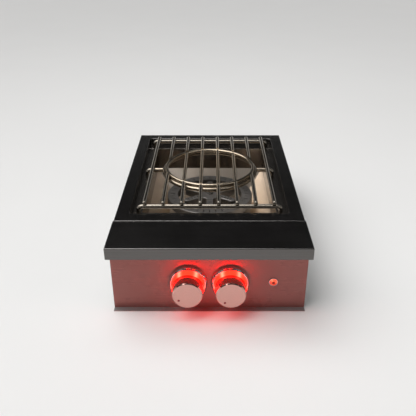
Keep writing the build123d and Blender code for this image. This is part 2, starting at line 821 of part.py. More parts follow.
    # Bezel: flared shell with a channel for the light ring
    with BuildPart() as bezel:
        with BuildSketch(turning_plane(valve_x, panel_front, control_height)):
            with BuildLine():
                Polyline(
                    (light_inner - fit_gap - bezel_wall, 0),
                    (bezel_radius, 0),
                    (bezel_radius, bezel_base),
                )
                RadiusArc(
                    (bezel_radius, bezel_base),
                    (bezel_front_radius, bezel_height),
                    -bezel_curve,
                )
                Polyline(
                    (bezel_front_radius, bezel_height),
                    (light_outer + fit_gap, bezel_height),
                    (light_outer + fit_gap, bezel_base),
                    (light_inner - fit_gap, bezel_base),
                    (light_inner - fit_gap, bezel_height - bezel_lip),
                    (light_inner - fit_gap - bezel_wall, bezel_height - bezel_lip),
                    (light_inner - fit_gap - bezel_wall, 0),
                )
            make_face()
        revolve(axis=turning_axis(valve_x, control_height))
    bezel.part.label = f"{side}_bezel"
    export_step(bezel.part, f"parts/{side}_bezel.step")

    # Light collar: a lens that stands out of the bezel and narrows towards the knob
    light_back = bezel_base + board_thickness + board_gap
    with BuildPart() as light_ring:
        with BuildSketch(turning_plane(valve_x, panel_front, control_height)):
            with BuildLine():
                Polyline(
                    (light_front_radius, bezel_height + light_proud),
                    (light_inner, bezel_height + light_proud),
                    (light_inner, light_back),
                    (light_outer, light_back),
                    (light_outer, bezel_height),
                )
                RadiusArc(
                    (light_outer, bezel_height),
                    (light_front_radius, bezel_height + light_proud),
                    -light_curve,
                )
            make_face()
        revolve(axis=turning_axis(valve_x, control_height))
    light_ring.part.label = f"{side}_light_ring"
    export_step(light_ring.part, f"parts/{side}_light_ring.step")

    # Light board under the collar, on the floor of the bezel
    with BuildPart() as light_board:
        with BuildSketch(front_plane(valve_x, panel_front - bezel_base, control_height)):
            Circle(light_outer)
            Circle(light_inner, mode=Mode.SUBTRACT)
        extrude(amount=board_thickness)
    light_board.part.label = f"{side}_light_board"
    export_step(light_board.part, f"parts/{side}_light_board.step")

    # Knob: turned cup with a bevelled rim, a flat face and a hub for the stem
    knob_turn = 90.0 + knob_angles[side]
    pointer_x = pointer_offset * cos(radians(knob_turn))
    pointer_z = pointer_offset * sin(radians(knob_turn))
    with BuildPart() as knob:
        with BuildSketch(turning_plane(valve_x, knob_back, control_height)):
            with BuildLine():
                Polyline(
                    (0, hub_depth),
                    (0, knob_length),
                    (knob_radius - knob_bevel, knob_length),
                    (knob_radius, knob_length - knob_bevel),
                    (knob_radius, 0),
                    (knob_radius - knob_wall, 0),
                    (knob_radius - knob_wall, hub_depth),
                    (0, hub_depth),
                )
            make_face()
        revolve(axis=turning_axis(valve_x, control_height))
        with BuildSketch(front_plane(valve_x, knob_back, control_height)):
            Circle(hub_radius)
            Circle(stem_radius + fit_gap, mode=Mode.SUBTRACT)
        extrude(amount=hub_depth)
        with BuildSketch(front_plane(valve_x, knob_front, control_height)):
            with Locations((pointer_x, pointer_z)):
                Circle(pointer_radius + fit_gap)
        extrude(amount=-pointer_depth, mode=Mode.SUBTRACT)
    knob.part.label = f"{side}_knob"
    export_step(knob.part, f"parts/{side}_knob.step")

    # Pointer dot set into the knob's face
    with BuildPart() as pointer:
        with BuildSketch(front_plane(valve_x, knob_front + pointer_depth, control_height)):
            with Locations((pointer_x, pointer_z)):
                Circle(pointer_radius)
        extrude(amount=pointer_depth)
    pointer.part.label = f"{side}_pointer"
    export_step(pointer.part, f"parts/{side}_pointer.step")

# Manifold: square tube closed at its left end
with BuildPart() as manifold:
    with BuildSketch(Plane.YZ.offset(manifold_left)):
        with Locations((manifold_y, manifold_height)):
            Rectangle(manifold_size, manifold_size)
    extrude(amount=elbow_left - manifold_left)
    with BuildSketch(Plane.YZ.offset(manifold_left + manifold_wall)):
        with Locations((manifold_y, manifold_height)):
            Rectangle(manifold_size - 2 * manifold_wall, manifold_size - 2 * manifold_wall)
    extrude(amount=elbow_left - manifold_left - manifold_wall, mode=Mode.SUBTRACT)
    with BuildSketch(Plane.XY.offset(manifold_top)):
        with Locations((-knob_x, manifold_y), (knob_x, manifold_y)):
            Circle(gas_port_radius)
    extrude(amount=-manifold_wall, mode=Mode.SUBTRACT)
manifold.part.label = "manifold"
export_step(manifold.part, "parts/manifold.step")

# Elbow block that turns the manifold towards the rear
with BuildPart() as manifold_elbow:
    with BuildSketch(Plane.XY.offset(manifold_bottom)):
        with Locations((pipe_x, manifold_y)):
            Rectangle(manifold_size, manifold_size)
    extrude(amount=manifold_size)
    front_corners = manifold_elbow.edges().filter_by(Axis.Z).sort_by(Axis.Y)[:2]
    chamfer(front_corners.sort_by(Axis.X)[-1], elbow_chamfer)
    with BuildSketch(Plane.YZ.offset(elbow_left)):
        with Locations((manifold_y, manifold_height)):
            Circle(pipe_radius - pipe_wall)
    extrude(amount=manifold_size / 2, mode=Mode.SUBTRACT)
    with BuildSketch(front_plane(pipe_x, manifold_y + manifold_size / 2, manifold_height)):
        Circle(pipe_radius - pipe_wall)
    extrude(amount=manifold_size / 2, mode=Mode.SUBTRACT)
manifold_elbow.part.label = "manifold_elbow"
export_step(manifold_elbow.part, "parts/manifold_elbow.step")

# Brackets that stand the manifold on the bottom panel
bracket_pitch = elbow_left - manifold_left - 2 * bracket_inset
bracket_middle = (elbow_left + manifold_left) / 2
with BuildPart() as manifold_brackets:
    with BuildSketch(Plane.XY.offset(sheet)):
        with Locations((bracket_middle, manifold_y + bracket_foot / 2)):
            with GridLocations(bracket_pitch, 0, 2, 1):
                Rectangle(bracket_width, bracket_foot)
    extrude(amount=sheet)
    with BuildSketch(Plane.XY.offset(sheet)):
        with Locations((bracket_middle, manifold_y + sheet / 2)):
            with GridLocations(bracket_pitch, 0, 2, 1):
                Rectangle(bracket_width, sheet)
    extrude(amount=manifold_bottom - sheet)
    with BuildSketch(Plane.XY.offset(manifold_bottom)):
        with Locations((bracket_middle, manifold_y - manifold_size / 4 + sheet / 2)):
            with GridLocations(bracket_pitch, 0, 2, 1):
                Rectangle(bracket_width, manifold_size / 2 + sheet)
    extrude(amount=-sheet)
manifold_brackets.part.label = "manifold_brackets"
export_step(manifold_brackets.part, "parts/manifold_brackets.step")

# Gas pipe from the elbow to the inlet fitting
hex_front = rear_inner - inlet_hex_length
with BuildPart() as gas_pipe:
    with BuildSketch(front_plane(pipe_x, hex_front, manifold_height)):
        Circle(pipe_radius)
        Circle(pipe_radius - pipe_wall, mode=Mode.SUBTRACT)
    extrude(amount=hex_front - manifold_y - manifold_size / 2)
gas_pipe.part.label = "gas_pipe"
export_step(gas_pipe.part, "parts/gas_pipe.step")

# Inlet fitting through the rear panel, with a male end for the gas hose
with BuildPart() as gas_inlet:
    with BuildSketch(front_plane(pipe_x, hex_front, manifold_height)):
        RegularPolygon(inlet_hex / 2, 6, major_radius=False)
    extrude(amount=-inlet_hex_length)
    with BuildSketch(front_plane(pipe_x, rear_inner, manifold_height)):
        Circle(inlet_barrel_radius)
    extrude(amount=-inlet_barrel)
    with BuildSketch(front_plane(pipe_x, rear_inner + inlet_barrel, manifold_height)):
        Circle(inlet_radius)
    extrude(amount=-inlet_length)
    with BuildSketch(front_plane(pipe_x, hex_front, manifold_height)):
        Circle(inlet_bore)
    extrude(amount=-inlet_hex_length - inlet_barrel - inlet_length, mode=Mode.SUBTRACT)
gas_inlet.part.label = "gas_inlet"
export_step(gas_inlet.part, "parts/gas_inlet.step")

# Nut that locks the inlet fitting to the rear panel
with BuildPart() as inlet_nut:
    with BuildSketch(front_plane(pipe_x, rear_outer, manifold_height)):
        RegularPolygon(inlet_nut_hex / 2, 6, major_radius=False)
        Circle(inlet_barrel_radius + fit_gap, mode=Mode.SUBTRACT)
    extrude(amount=-inlet_nut_length)
inlet_nut.part.label = "inlet_nut"
export_step(inlet_nut.part, "parts/inlet_nut.step")

# Igniter electrode: ceramic rod with a spark wire towards the ring burner
electrode_rear = hood_front + electrode_back
spark_end = well_y - sqrt(ring_outer**2 - electrode_x**2) - spark_gap
with BuildPart() as electrode:
    with BuildSketch(front_plane(electrode_x, electrode_rear, electrode_height)):
        Circle(electrode_radius)
    extrude(amount=electrode_length)
    with BuildSketch(front_plane(electrode_x, electrode_rear, electrode_height)):
        Circle(spark_wire_radius)
    extrude(amount=electrode_rear - spark_end)
electrode.part.label = "electrode"
export_step(electrode.part, "parts/electrode.step")

# Electrode bracket on the burner support
bracket_y = well_y - support_length / 2
with BuildPart() as electrode_bracket:
    with BuildSketch(Plane.XY.offset(support_height)):
        with Locations((electrode_x, bracket_y + bracket_plate_foot / 2)):
            Rectangle(bracket_plate_width, bracket_plate_foot)
    extrude(amount=sheet)
    with BuildSketch(front_plane(electrode_x, bracket_y + sheet, support_height)):
        with Locations((0, bracket_plate_rise / 2)):
            Rectangle(bracket_plate_width, bracket_plate_rise)
        with Locations((0, electrode_height - support_height)):
            Circle(electrode_radius + fit_gap, mode=Mode.SUBTRACT)
    extrude(amount=sheet)
electrode_bracket.part.label = "electrode_bracket"
export_step(electrode_bracket.part, "parts/electrode_bracket.step")

# Spark module on the bottom panel, with two terminals
with BuildPart() as spark_module:
    with BuildSketch(Plane.XY.offset(sheet)):
        with Locations((module_x, hood_front + box_setback)):
            Rectangle(module_width, module_depth)
    extrude(amount=module_height)
    chamfer(spark_module.faces().sort_by(Axis.Z)[-1].edges(), box_edge)
    with BuildSketch(Plane.XY.offset(sheet + module_height)):
        with Locations((module_x, hood_front + box_setback)):
            with GridLocations(terminal_pitch, 0, 2, 1):
                Circle(terminal_radius)
    extrude(amount=terminal_rise)
spark_module.part.label = "spark_module"
export_step(spark_module.part, "parts/spark_module.step")

# Spark lead from a terminal, under the venturi tubes and through the bulkhead to the electrode
terminal_x = module_x + terminal_pitch / 2
terminal_top = sheet + module_height + terminal_rise
lead_y = hood_front + box_setback
with BuildPart() as spark_lead:
    with BuildLine() as lead_route:
        FilletPolyline(
            (terminal_x, lead_y, terminal_top),
            (terminal_x, lead_y, lead_height),
            (electrode_x, lead_y, lead_height),
            (electrode_x, lead_y, electrode_height),
            (electrode_x, electrode_rear - electrode_length, electrode_height),
            radius=lead_bend,
        )
    with BuildSketch(Plane.XY.offset(terminal_top)):
        with Locations((terminal_x, lead_y)):
            Circle(lead_radius)
    sweep(path=lead_route.wires()[0])
spark_lead.part.label = "spark_lead"
export_step(spark_lead.part, "parts/spark_lead.step")

# Driver box for the lights
with BuildPart() as light_driver:
    with BuildSketch(Plane.XY.offset(sheet)):
        with Locations((driver_x, hood_front + box_setback)):
            Rectangle(driver_width, driver_depth)
    extrude(amount=driver_height)
    chamfer(light_driver.faces().sort_by(Axis.Z)[-1].edges(), box_edge)
light_driver.part.label = "light_driver"
export_step(light_driver.part, "parts/light_driver.step")

# Switch housing: flange with a groove for its light ring, barrel and two blades
button_bore = button_radius + fit_gap
with BuildPart() as switch_housing:
    with BuildSketch(front_plane(switch_x, panel_front, switch_height)):
        Circle(switch_flange_radius)
    extrude(amount=switch_flange, taper=switch_taper)
    with BuildSketch(front_plane(switch_x, panel_front, switch_height)):
        Circle(switch_barrel_radius)
    extrude(amount=-switch_barrel)
    with BuildSketch(front_plane(switch_x, panel_front - switch_flange, switch_height)):
        Circle(switch_ring_outer + fit_gap)
        Circle(switch_ring_inner - fit_gap, mode=Mode.SUBTRACT)
    extrude(amount=-switch_ring_depth, mode=Mode.SUBTRACT)
    with BuildSketch(front_plane(switch_x, panel_front - switch_flange, switch_height)):
        Circle(button_bore)
    extrude(amount=-button_length - button_travel, mode=Mode.SUBTRACT)
    with BuildSketch(front_plane(switch_x, panel_front + switch_barrel, switch_height)):
        with GridLocations(blade_pitch, 0, 2, 1):
            Rectangle(blade_thickness, blade_width)
    extrude(amount=-blade_length)
switch_housing.part.label = "switch_housing"
export_step(switch_housing.part, "parts/switch_housing.step")

# Nut behind the panel
with BuildPart() as switch_nut_part:
    with BuildSketch(front_plane(switch_x, panel_back, switch_height)):
        RegularPolygon(switch_nut_hex / 2, 6, major_radius=False)
        Circle(switch_barrel_radius + fit_gap, mode=Mode.SUBTRACT)
    extrude(amount=-switch_nut)
switch_nut_part.part.label = "switch_nut"
export_step(switch_nut_part.part, "parts/switch_nut.step")

# Light ring round the switch button
with BuildPart() as switch_light:
    with BuildSketch(front_plane(switch_x, panel_front - switch_flange + switch_ring_depth, switch_height)):
        Circle(switch_ring_outer)
        Circle(switch_ring_inner, mode=Mode.SUBTRACT)
    extrude(amount=switch_ring_depth)
switch_light.part.label = "switch_light"
export_step(switch_light.part, "parts/switch_light.step")

# Push button
with BuildPart() as switch_button:
    with BuildSketch(front_plane(switch_x, panel_front - switch_flange - button_proud, switch_height)):
        Circle(button_radius)
    extrude(amount=-button_length)
    chamfer(switch_button.faces().sort_by(Axis.Y)[0].edges(), button_edge)
switch_button.part.label = "switch_button"
export_step(switch_button.part, "parts/switch_button.step")

# Grate rods with rounded ends: the outer two run through, the others stop on the carrier ring
rod_rear = well_y + rod_length / 2
with BuildPart() as grate_rods:
    with BuildSketch(front_plane(0, rod_rear, rod_height)):
        with GridLocations(rod_pitch, 0, rod_count, 1):
            Circle(rod_radius)
    extrude(amount=rod_length)
    with BuildSketch(Plane.XY.offset(rod_height - rod_radius)):
        with Locations((0, well_y)):
            Circle(insert_radius + rod_radius + insert_gap)
    extrude(amount=rod_diameter, mode=Mode.SUBTRACT)
    front_ends = grate_rods.faces().sort_by(Axis.Y)[:rod_count]
    rear_ends = grate_rods.faces().sort_by(Axis.Y)[-rod_count:]
    fillet(front_ends.edges() + rear_ends.edges(), rod_end_radius)
grate_rods.part.label = "grate_rods"
export_step(grate_rods.part, "parts/grate_rods.step")

# Grate rails: front and rear rails with bent legs, and a short rail at each side of the ring
with BuildPart() as grate_rails:
    for rail_y in (well_y - rail_span, well_y + rail_span):
        with BuildLine(Plane.XZ.offset(-rail_y)) as rail_route:
            FilletPolyline(
                (-rail_reach, ledge_top),
                (-rail_reach, rail_height),
                (rail_reach, rail_height),
                (rail_reach, ledge_top),
                radius=rail_bend,
            )
        with BuildSketch(Plane.XY.offset(ledge_top)):
            with Locations((-rail_reach, rail_y)):
                Circle(rail_radius)
        sweep(path=rail_route.wires()[0])
    for hand in (-1, 1):
        with BuildLine(Plane.XZ.offset(-well_y)) as short_route:
            FilletPolyline(
                (hand * rail_reach, ledge_top),
                (hand * rail_reach, rail_height),
                (hand * (carrier_radius + rail_radius), rail_height),
                radius=rail_bend,
            )
        with BuildSketch(Plane.XY.offset(ledge_top)):
            with Locations((hand * rail_reach, well_y)):
                Circle(rail_radius)
        sweep(path=short_route.wires()[0])
grate_rails.part.label = "grate_rails"
export_step(grate_rails.part, "parts/grate_rails.step")

# Carrier ring under the rods
with BuildPart() as grate_ring:
    with BuildSketch(Plane.XZ.offset(-well_y)):
        with Locations((carrier_radius, rail_height)):
            Circle(rail_radius)
    revolve(axis=Axis((0, well_y, 0), (0, 0, 1)))
grate_ring.part.label = "grate_ring"
export_step(grate_ring.part, "parts/grate_ring.step")

# Centre insert: ring that lies on the inner shoulder of the carrier ring
with BuildPart() as center_ring:
    with BuildSketch(Plane.XZ.offset(-well_y)):
        with Locations((insert_radius, insert_height)):
            Circle(rod_radius)
    revolve(axis=Axis((0, well_y, 0), (0, 0, 1)))
center_ring.part.label = "center_ring"
export_step(center_ring.part, "parts/center_ring.step")

# Centre insert: short rods across its ring
with BuildPart() as center_rods:
    with BuildSketch(front_plane(0, well_y + insert_radius, insert_height)):
        with GridLocations(rod_pitch, 0, insert_rods, 1):
            Circle(rod_radius)
    extrude(amount=2 * insert_radius)
    with BuildSketch(Plane.XY.offset(insert_height - rod_radius)):
        with Locations((0, well_y)):
            Circle(insert_radius - rod_radius)
    extrude(amount=rod_diameter, mode=Mode.INTERSECT)
center_rods.part.label = "center_rods"
export_step(center_rods.part, "parts/center_rods.step")
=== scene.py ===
"""Built-in power burner in a plain studio: finishes, small modelled pieces, lights and camera."""
import logging
import math
from dataclasses import dataclass, replace
from enum import Enum
from typing import Any, Callable, Optional, Union

import bpy
from mathutils import Matrix, Vector


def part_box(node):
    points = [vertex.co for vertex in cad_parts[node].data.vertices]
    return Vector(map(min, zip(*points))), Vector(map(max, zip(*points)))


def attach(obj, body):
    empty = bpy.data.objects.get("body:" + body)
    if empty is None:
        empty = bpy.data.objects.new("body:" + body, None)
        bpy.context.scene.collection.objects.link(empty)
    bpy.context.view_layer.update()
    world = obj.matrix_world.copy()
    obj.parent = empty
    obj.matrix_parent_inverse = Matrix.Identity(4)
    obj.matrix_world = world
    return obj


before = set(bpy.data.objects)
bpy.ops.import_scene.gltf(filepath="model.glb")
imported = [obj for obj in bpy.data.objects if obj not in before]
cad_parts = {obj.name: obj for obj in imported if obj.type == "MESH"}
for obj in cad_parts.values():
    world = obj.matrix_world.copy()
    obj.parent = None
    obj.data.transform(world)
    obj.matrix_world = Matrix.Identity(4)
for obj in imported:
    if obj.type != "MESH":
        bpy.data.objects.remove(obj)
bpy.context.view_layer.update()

LOG = logging.getLogger("power_burner")
MM = 0.001               # a millimetre in the frame's metres
MERGE_GAP = 1e-6         # points closer than this are one point
FINE_DETAIL = 3.0        # finer layers of a finish's cloudy pattern
TONE_SPAN = (0.3, 0.7)   # pattern values that give the darkest and the lightest tone
ORIGIN = (0.0, 0.0, 0.0)
BLACK = (0.0, 0.0, 0.0)

Rgb = tuple[float, float, float]
Point = tuple[float, float, float]
Span = tuple[float, float]


class Body(Enum):
    """Bodies of the frame that new pieces ride on."""

    CHASSIS = "chassis"
    GRATE = "grate_body"
    INSERT = "center_body"


class Side(Enum):
    """The two control sets, as the cook sees them."""

    LEFT = "left"
    RIGHT = "right"

    def node(self, piece: str) -> str:
        """Name of a piece on this side."""
        return f"{self.value}_{piece}"


class Grain(Enum):
    """Way that rolling or brush lines run, as waves per metre along X, Y and Z."""

    ALONG_X = (6.0, 2200.0, 2200.0)
    ALONG_Y = (2200.0, 6.0, 2200.0)
    ALONG_Z = (2200.0, 2200.0, 6.0)


def node_centre(node: str) -> Vector:
    """Middle of a frame node's box."""
    low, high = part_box(node)
    return (low + high) / 2


class Wire:
    """An output socket whose arithmetic adds Math nodes to the shader that owns it."""

    def __init__(self, shader: "Shader", socket: bpy.types.NodeSocket) -> None:
        """Keep the socket together with its shader."""
        self.shader = shader
        self.socket = socket

    def __add__(self, other: "Value") -> "Wire":
        """Sum of two values."""
        return self.shader.math("ADD", self, other)

    def __sub__(self, other: "Value") -> "Wire":
        """Difference of two values."""
        return self.shader.math("SUBTRACT", self, other)

    def __mul__(self, other: "Value") -> "Wire":
        """Product of two values."""
        return self.shader.math("MULTIPLY", self, other)

    def __truediv__(self, other: "Value") -> "Wire":
        """Ratio of two values."""
        return self.shader.math("DIVIDE", self, other)

    def __pow__(self, other: "Value") -> "Wire":
        """This value to a power."""
        return self.shader.math("POWER", self, other)

    def __gt__(self, edge: "Value") -> "Wire":
        """One where this value is above an edge, else zero."""
        return self.shader.math("GREATER_THAN", self, edge)

    def __abs__(self) -> "Wire":
        """Size of this value without its sign."""
        return self.shader.math("ABSOLUTE", self)

    def __rsub__(self, other: float) -> "Wire":
        """A number less this value."""
        return self.shader.math("SUBTRACT", other, self)

    __radd__ = __add__

    def part(self, axis: str) -> "Wire":
        """One coordinate of a vector."""
        return self.shader.node("ShaderNodeSeparateXYZ", inputs={0: self}, output=axis)

    def remap(self, low: float, high: float, start: float = 0.0, end: float = 1.0) -> "Wire":
        """Smooth step between two limits.

        Args:
            low: value that gives start.
            high: value that gives end.
            start: result at and below low.
            end: result at and above high.

        Returns:
            The stepped value.
        """
        limits = {"From Min": low, "From Max": high, "To Min": start, "To Max": end, "Value": self}
        return self.shader.node("ShaderNodeMapRange", {"interpolation_type": "SMOOTHSTEP"}, limits)

    def swing(self, amount: float) -> "Wire":
        """Change of up to half an amount either way, from a value between 0 and 1."""
        return (self - 0.5) * amount


Value = Union[Wire, float, Rgb]


class Shader:
    """A material and its node tree."""

    def __init__(self, name: str) -> None:
        """Start an empty material.

        Args:
            name: the material's name.
        """
        self.material = bpy.data.materials.new(name)
        self.material.use_nodes = True
        self.tree = self.material.node_tree
        self.tree.nodes.clear()

    def node(
        self,
        kind: str,
        settings: Optional[dict[str, Any]] = None,
        inputs: Optional[dict[Union[str, int], Value]] = None,
        output: Union[str, int] = 0,
    ) -> Wire:
        """Add any node.

        Args:
            kind: the node's type.
            settings: its own settings, set before the sockets.
            inputs: values or links of its sockets, by name or place.
            output: the socket to return.

        Returns:
            That output.
        """
        made = self.tree.nodes.new(kind)
        for key, value in (settings or {}).items():
            setattr(made, key, value)
        for key, value in (inputs or {}).items():
            socket = made.inputs[key]
            if isinstance(value, Wire):
                self.tree.links.new(value.socket, socket)
            elif socket.type == "RGBA":
                socket.default_value = (*value, 1.0)
            else:
                socket.default_value = value
        return Wire(self, made.outputs[output])

    def math(self, operation: str, first: Value, second: Value = 0.0) -> Wire:
        """Add a Math node on two values."""
        return self.node("ShaderNodeMath", {"operation": operation}, {0: first, 1: second})

    def place(self) -> Wire:
        """Point of the surface in the frame's own metres."""
        return self.node("ShaderNodeTexCoord", output="Object")

    def facing(self) -> Wire:
        """Direction that the surface faces, in the frame."""
        return self.node("ShaderNodeTexCoord", output="Normal")

    def centred(self, point: Point, scale: Point = (1.0, 1.0, 1.0)) -> Wire:
        """Surface point measured from a centre and stretched.

        Args:
            point: the centre in the frame.
            scale: factor along each axis.

        Returns:
            The moved and stretched point.
        """
        moved = self.node("ShaderNodeVectorMath", {"operation": "SUBTRACT"}, {0: self.place(), 1: point})
        return self.node("ShaderNodeMapping", inputs={"Vector": moved, "Scale": scale})

    def reach(self, place: Wire) -> Wire:
        """Distance of a point from the front-to-back axis through the centre."""
        return self.math("SQRT", place.part("X") ** 2.0 + place.part("Z") ** 2.0)

    def noise(self, vector: Wire, scale: float, detail: float = 2.0, roughness: float = 0.5) -> Wire:
        """Cloudy value from 0 to 1.

        Args:
            vector: where it is read.
            scale: waves per unit of the vector.
            detail: number of finer layers.
            roughness: weight of the finer layers.

        Returns:
            The noise value.
        """
        inputs = {"Vector": vector, "Scale": scale, "Detail": detail, "Roughness": roughness}
        return self.node("ShaderNodeTexNoise", inputs=inputs)

    def mix(self, share: Value, first: Value, second: Value) -> Wire:
        """Blend of two colours by a share from 0 to 1."""
        return self.node("ShaderNodeMix", {"data_type": "RGBA"}, {0: share, 6: first, 7: second}, output=2)

    def bump(self, height: Wire, depth: float, edge: float = 0.0) -> Wire:
        """Surface direction tilted by a height.

        Args:
            height: value from 0 to 1.
            depth: depth of the relief in metres.
            edge: radius in metres by which sharp edges look rounded, or 0 for none.

        Returns:
            The tilted direction.
        """
        inputs: dict[Union[str, int], Value] = {"Height": height, "Distance": depth, "Strength": 1.0}
        if edge > 0.0:
            inputs["Normal"] = self.node("ShaderNodeBevel", {"samples": 6}, {"Radius": edge})
        return self.node("ShaderNodeBump", inputs=inputs)

    def principled(self, inputs: dict[Union[str, int], Value]) -> Wire:
        """Main surface shader with these sockets."""
        return self.node("ShaderNodeBsdfPrincipled", inputs=inputs)

    def finish(self, surface: Wire) -> bpy.types.Material:
        """Send a surface to the output.

        Args:
            surface: the finished surface.

        Returns:
            The material.
        """
        output = self.tree.nodes.new("ShaderNodeOutputMaterial")
        self.tree.links.new(surface.socket, output.inputs["Surface"])
        return self.material


@dataclass(frozen=True)
class Finish:
    """What every finish has: a name, a colour and a mean roughness."""

    name: str
    tint: Rgb
    roughness: float

    def surface(self, shader: Shader) -> Wire:
        """Surface of this finish, given by each kind of finish."""
        raise NotImplementedError

    def make(self) -> bpy.types.Material:
        """Build the material."""
        shader = Shader(self.name)
        return shader.finish(self.surface(shader))

    def shade(self, factor: float) -> Rgb:
        """The tint made lighter or darker."""
        red, green, blue = self.tint
        return (red * factor, green * factor, blue * factor)

    def toned(self, shader: Shader, tone: Wire, dark: float, light: float) -> Wire:
        """The tint between a darker and a lighter shade, by a tone from 0 to 1."""
        return shader.mix(tone, self.shade(dark), self.shade(light))


@dataclass(frozen=True)
class BrushedSheet(Finish):
    """Stainless sheet with long brush lines, handling marks and soft bright edges.

    Faces that look towards the low end of an axis may take a second tint: painted light or painted shade that
    sets them apart from the other faces.
    """

    grain: Grain = Grain.ALONG_X
    end_grain: Grain = Grain.ALONG_Y
    end_axis: str = "X"
    end_turn: float = 0.7
    line_roughness: float = 0.65
    broad_scale: float = 0.3
    cloud_scale: float = 14.0
    cloud_gloss: float = 0.1
    depth: float = 0.05 * MM
    edge: float = 0.5 * MM
    contrast: float = 0.1
    haze: float = 0.0
    haze_roughness: float = 0.8
    painted_light_tint: Optional[Rgb] = None
    painted_light_axis: str = "Z"
    face_turn: Span = (-0.5, -0.8)

    def lines(self, shader: Shader, scale: float) -> Wire:
        """Brush lines that turn with the face, so that no face shows them end-on.

        Args:
            shader: the shader that gets them.
            scale: how fine they are, 1 for the grain itself.

        Returns:
            A value from 0 to 1 across the lines.
        """
        end_on = abs(shader.facing().part(self.end_axis)) > self.end_turn
        along, across = (
            shader.noise(shader.centred(ORIGIN, grain.value), scale, FINE_DETAIL, self.line_roughness)
            for grain in (self.grain, self.end_grain)
        )
        return along * (1 - end_on) + across * end_on

    def surface(self, shader: Shader) -> Wire:
        """Brushed stainless steel.

        Args:
            shader: the shader to build it in.

        Returns:
            The surface.
        """
        fine = self.lines(shader, 1.0)
        broad = self.lines(shader, self.broad_scale)
        cloud = shader.noise(shader.place(), self.cloud_scale, FINE_DETAIL)
        tone = ((fine + broad) / 2).remap(*TONE_SPAN)
        colour = self.toned(shader, tone, 1 - self.contrast, 1 + self.contrast)
        # Painted light or shade: faces towards the low end of the axis blend to a second tint.
        if self.painted_light_tint is not None:
            turned = shader.facing().part(self.painted_light_axis).remap(*self.face_turn)
            colour = shader.mix(turned, colour, self.painted_light_tint)
        unevenness = broad.swing(self.contrast) + cloud.swing(self.cloud_gloss)
        inputs = {"Base Color": colour, "Metallic": 1.0, "Normal": shader.bump(fine, self.depth, self.edge)}
        clear = shader.principled({**inputs, "Roughness": self.roughness + unevenness})
        if self.haze == 0.0:
            return clear
        wide = shader.principled({**inputs, "Roughness": self.haze_roughness + unevenness})
        return shader.node("ShaderNodeMixShader", inputs={0: self.haze, 1: clear, 2: wide})


@dataclass(frozen=True)
class HeatedSteel(Finish):
    """Satin or polished steel near the flames, with a straw heat tint and fine draw marks."""

    centre: Point = ORIGIN
    reach: float = 0.3
    straw: Rgb = (0.62, 0.45, 0.27)
    most: float = 0.6
    heat_gloss: float = 0.05
    depth: float = 0.01 * MM
    marking: float = 0.09
    grain: Grain = Grain.ALONG_Z
    cloud_scale: float = 11.0
    cloud_roughness: float = 0.4
    cloud_heat: float = 0.3
    cloud_gloss: float = 0.06

    def surface(self, shader: Shader) -> Wire:
        """Heat-tinted steel.

        Args:
            shader: the shader to build it in.

        Returns:
            The surface.
        """
        place = shader.place()
        inputs = {0: place, 1: self.centre}
        distance = shader.node("ShaderNodeVectorMath", {"operation": "DISTANCE"}, inputs, output="Value")
        cloud = shader.noise(place, self.cloud_scale, roughness=self.cloud_roughness)
        marks = shader.noise(shader.centred(ORIGIN, self.grain.value), 1.0)
        uneven = distance + cloud.swing(self.reach * self.cloud_heat)
        heat = uneven.remap(0.0, self.reach, self.most, 0.0)
        worn = self.toned(shader, marks.remap(*TONE_SPAN), 1 - self.marking, 1 + self.marking)
        rough = self.roughness + marks.swing(self.marking) + cloud.swing(self.cloud_gloss)
        return shader.principled({
            "Base Color": shader.mix(heat, worn, self.straw),
            "Metallic": 1.0,
            "Roughness": rough + heat * self.heat_gloss,
            "Normal": shader.bump(marks, self.depth),
        })


@dataclass(frozen=True)
class Turned(Finish):
    """Metal turned on a lathe: fine rings round a front-to-back axis.

    The face may have shallower rings, the sides another roughness, and the bevel between them a polish.
    """

    centre: Point = ORIGIN
    pitch: float = 0.35 * MM
    depth: float = 0.004 * MM
    contrast: float = 0.06
    edge: float = 0.3 * MM
    face_turn: Span = (0.8, 0.95)
    face_share: float = 1.0
    side_roughening: float = 0.0
    bevel_turn: Span = (0.4, 0.6)
    bevel_polish: float = 0.0
    ring_gloss: float = 0.1
    cloud_scale: float = 60.0
    cloud_gloss: float = 0.08

    def surface(self, shader: Shader) -> Wire:
        """Turned metal.

        Args:
            shader: the shader to build it in.

        Returns:
            The surface.
        """
        place = shader.centred(self.centre)
        along = (shader.reach(place) + place.part("Y")) / self.pitch
        rings = shader.node("ShaderNodeTexNoise", {"noise_dimensions": "1D"}, {"W": along, "Scale": 1.0})
        cloud = shader.noise(place, self.cloud_scale, FINE_DETAIL)
        towards = abs(shader.facing().part("Y"))
        face = towards.remap(*self.face_turn)
        bevel = towards.remap(*self.bevel_turn) * (1 - face)
        relief = rings * (1 - (face + bevel) * (1 - self.face_share))
        satin = self.roughness + rings.swing(self.ring_gloss) + cloud.swing(self.cloud_gloss)
        satin += (1 - face) * self.side_roughening
        return shader.principled({
            "Base Color": self.toned(shader, rings.remap(*TONE_SPAN), 1 - self.contrast, 1 + self.contrast),
            "Metallic": 1.0,
            "Roughness": satin * (1 - bevel * self.bevel_polish),
            "Normal": shader.bump(relief, self.depth, self.edge),
        })


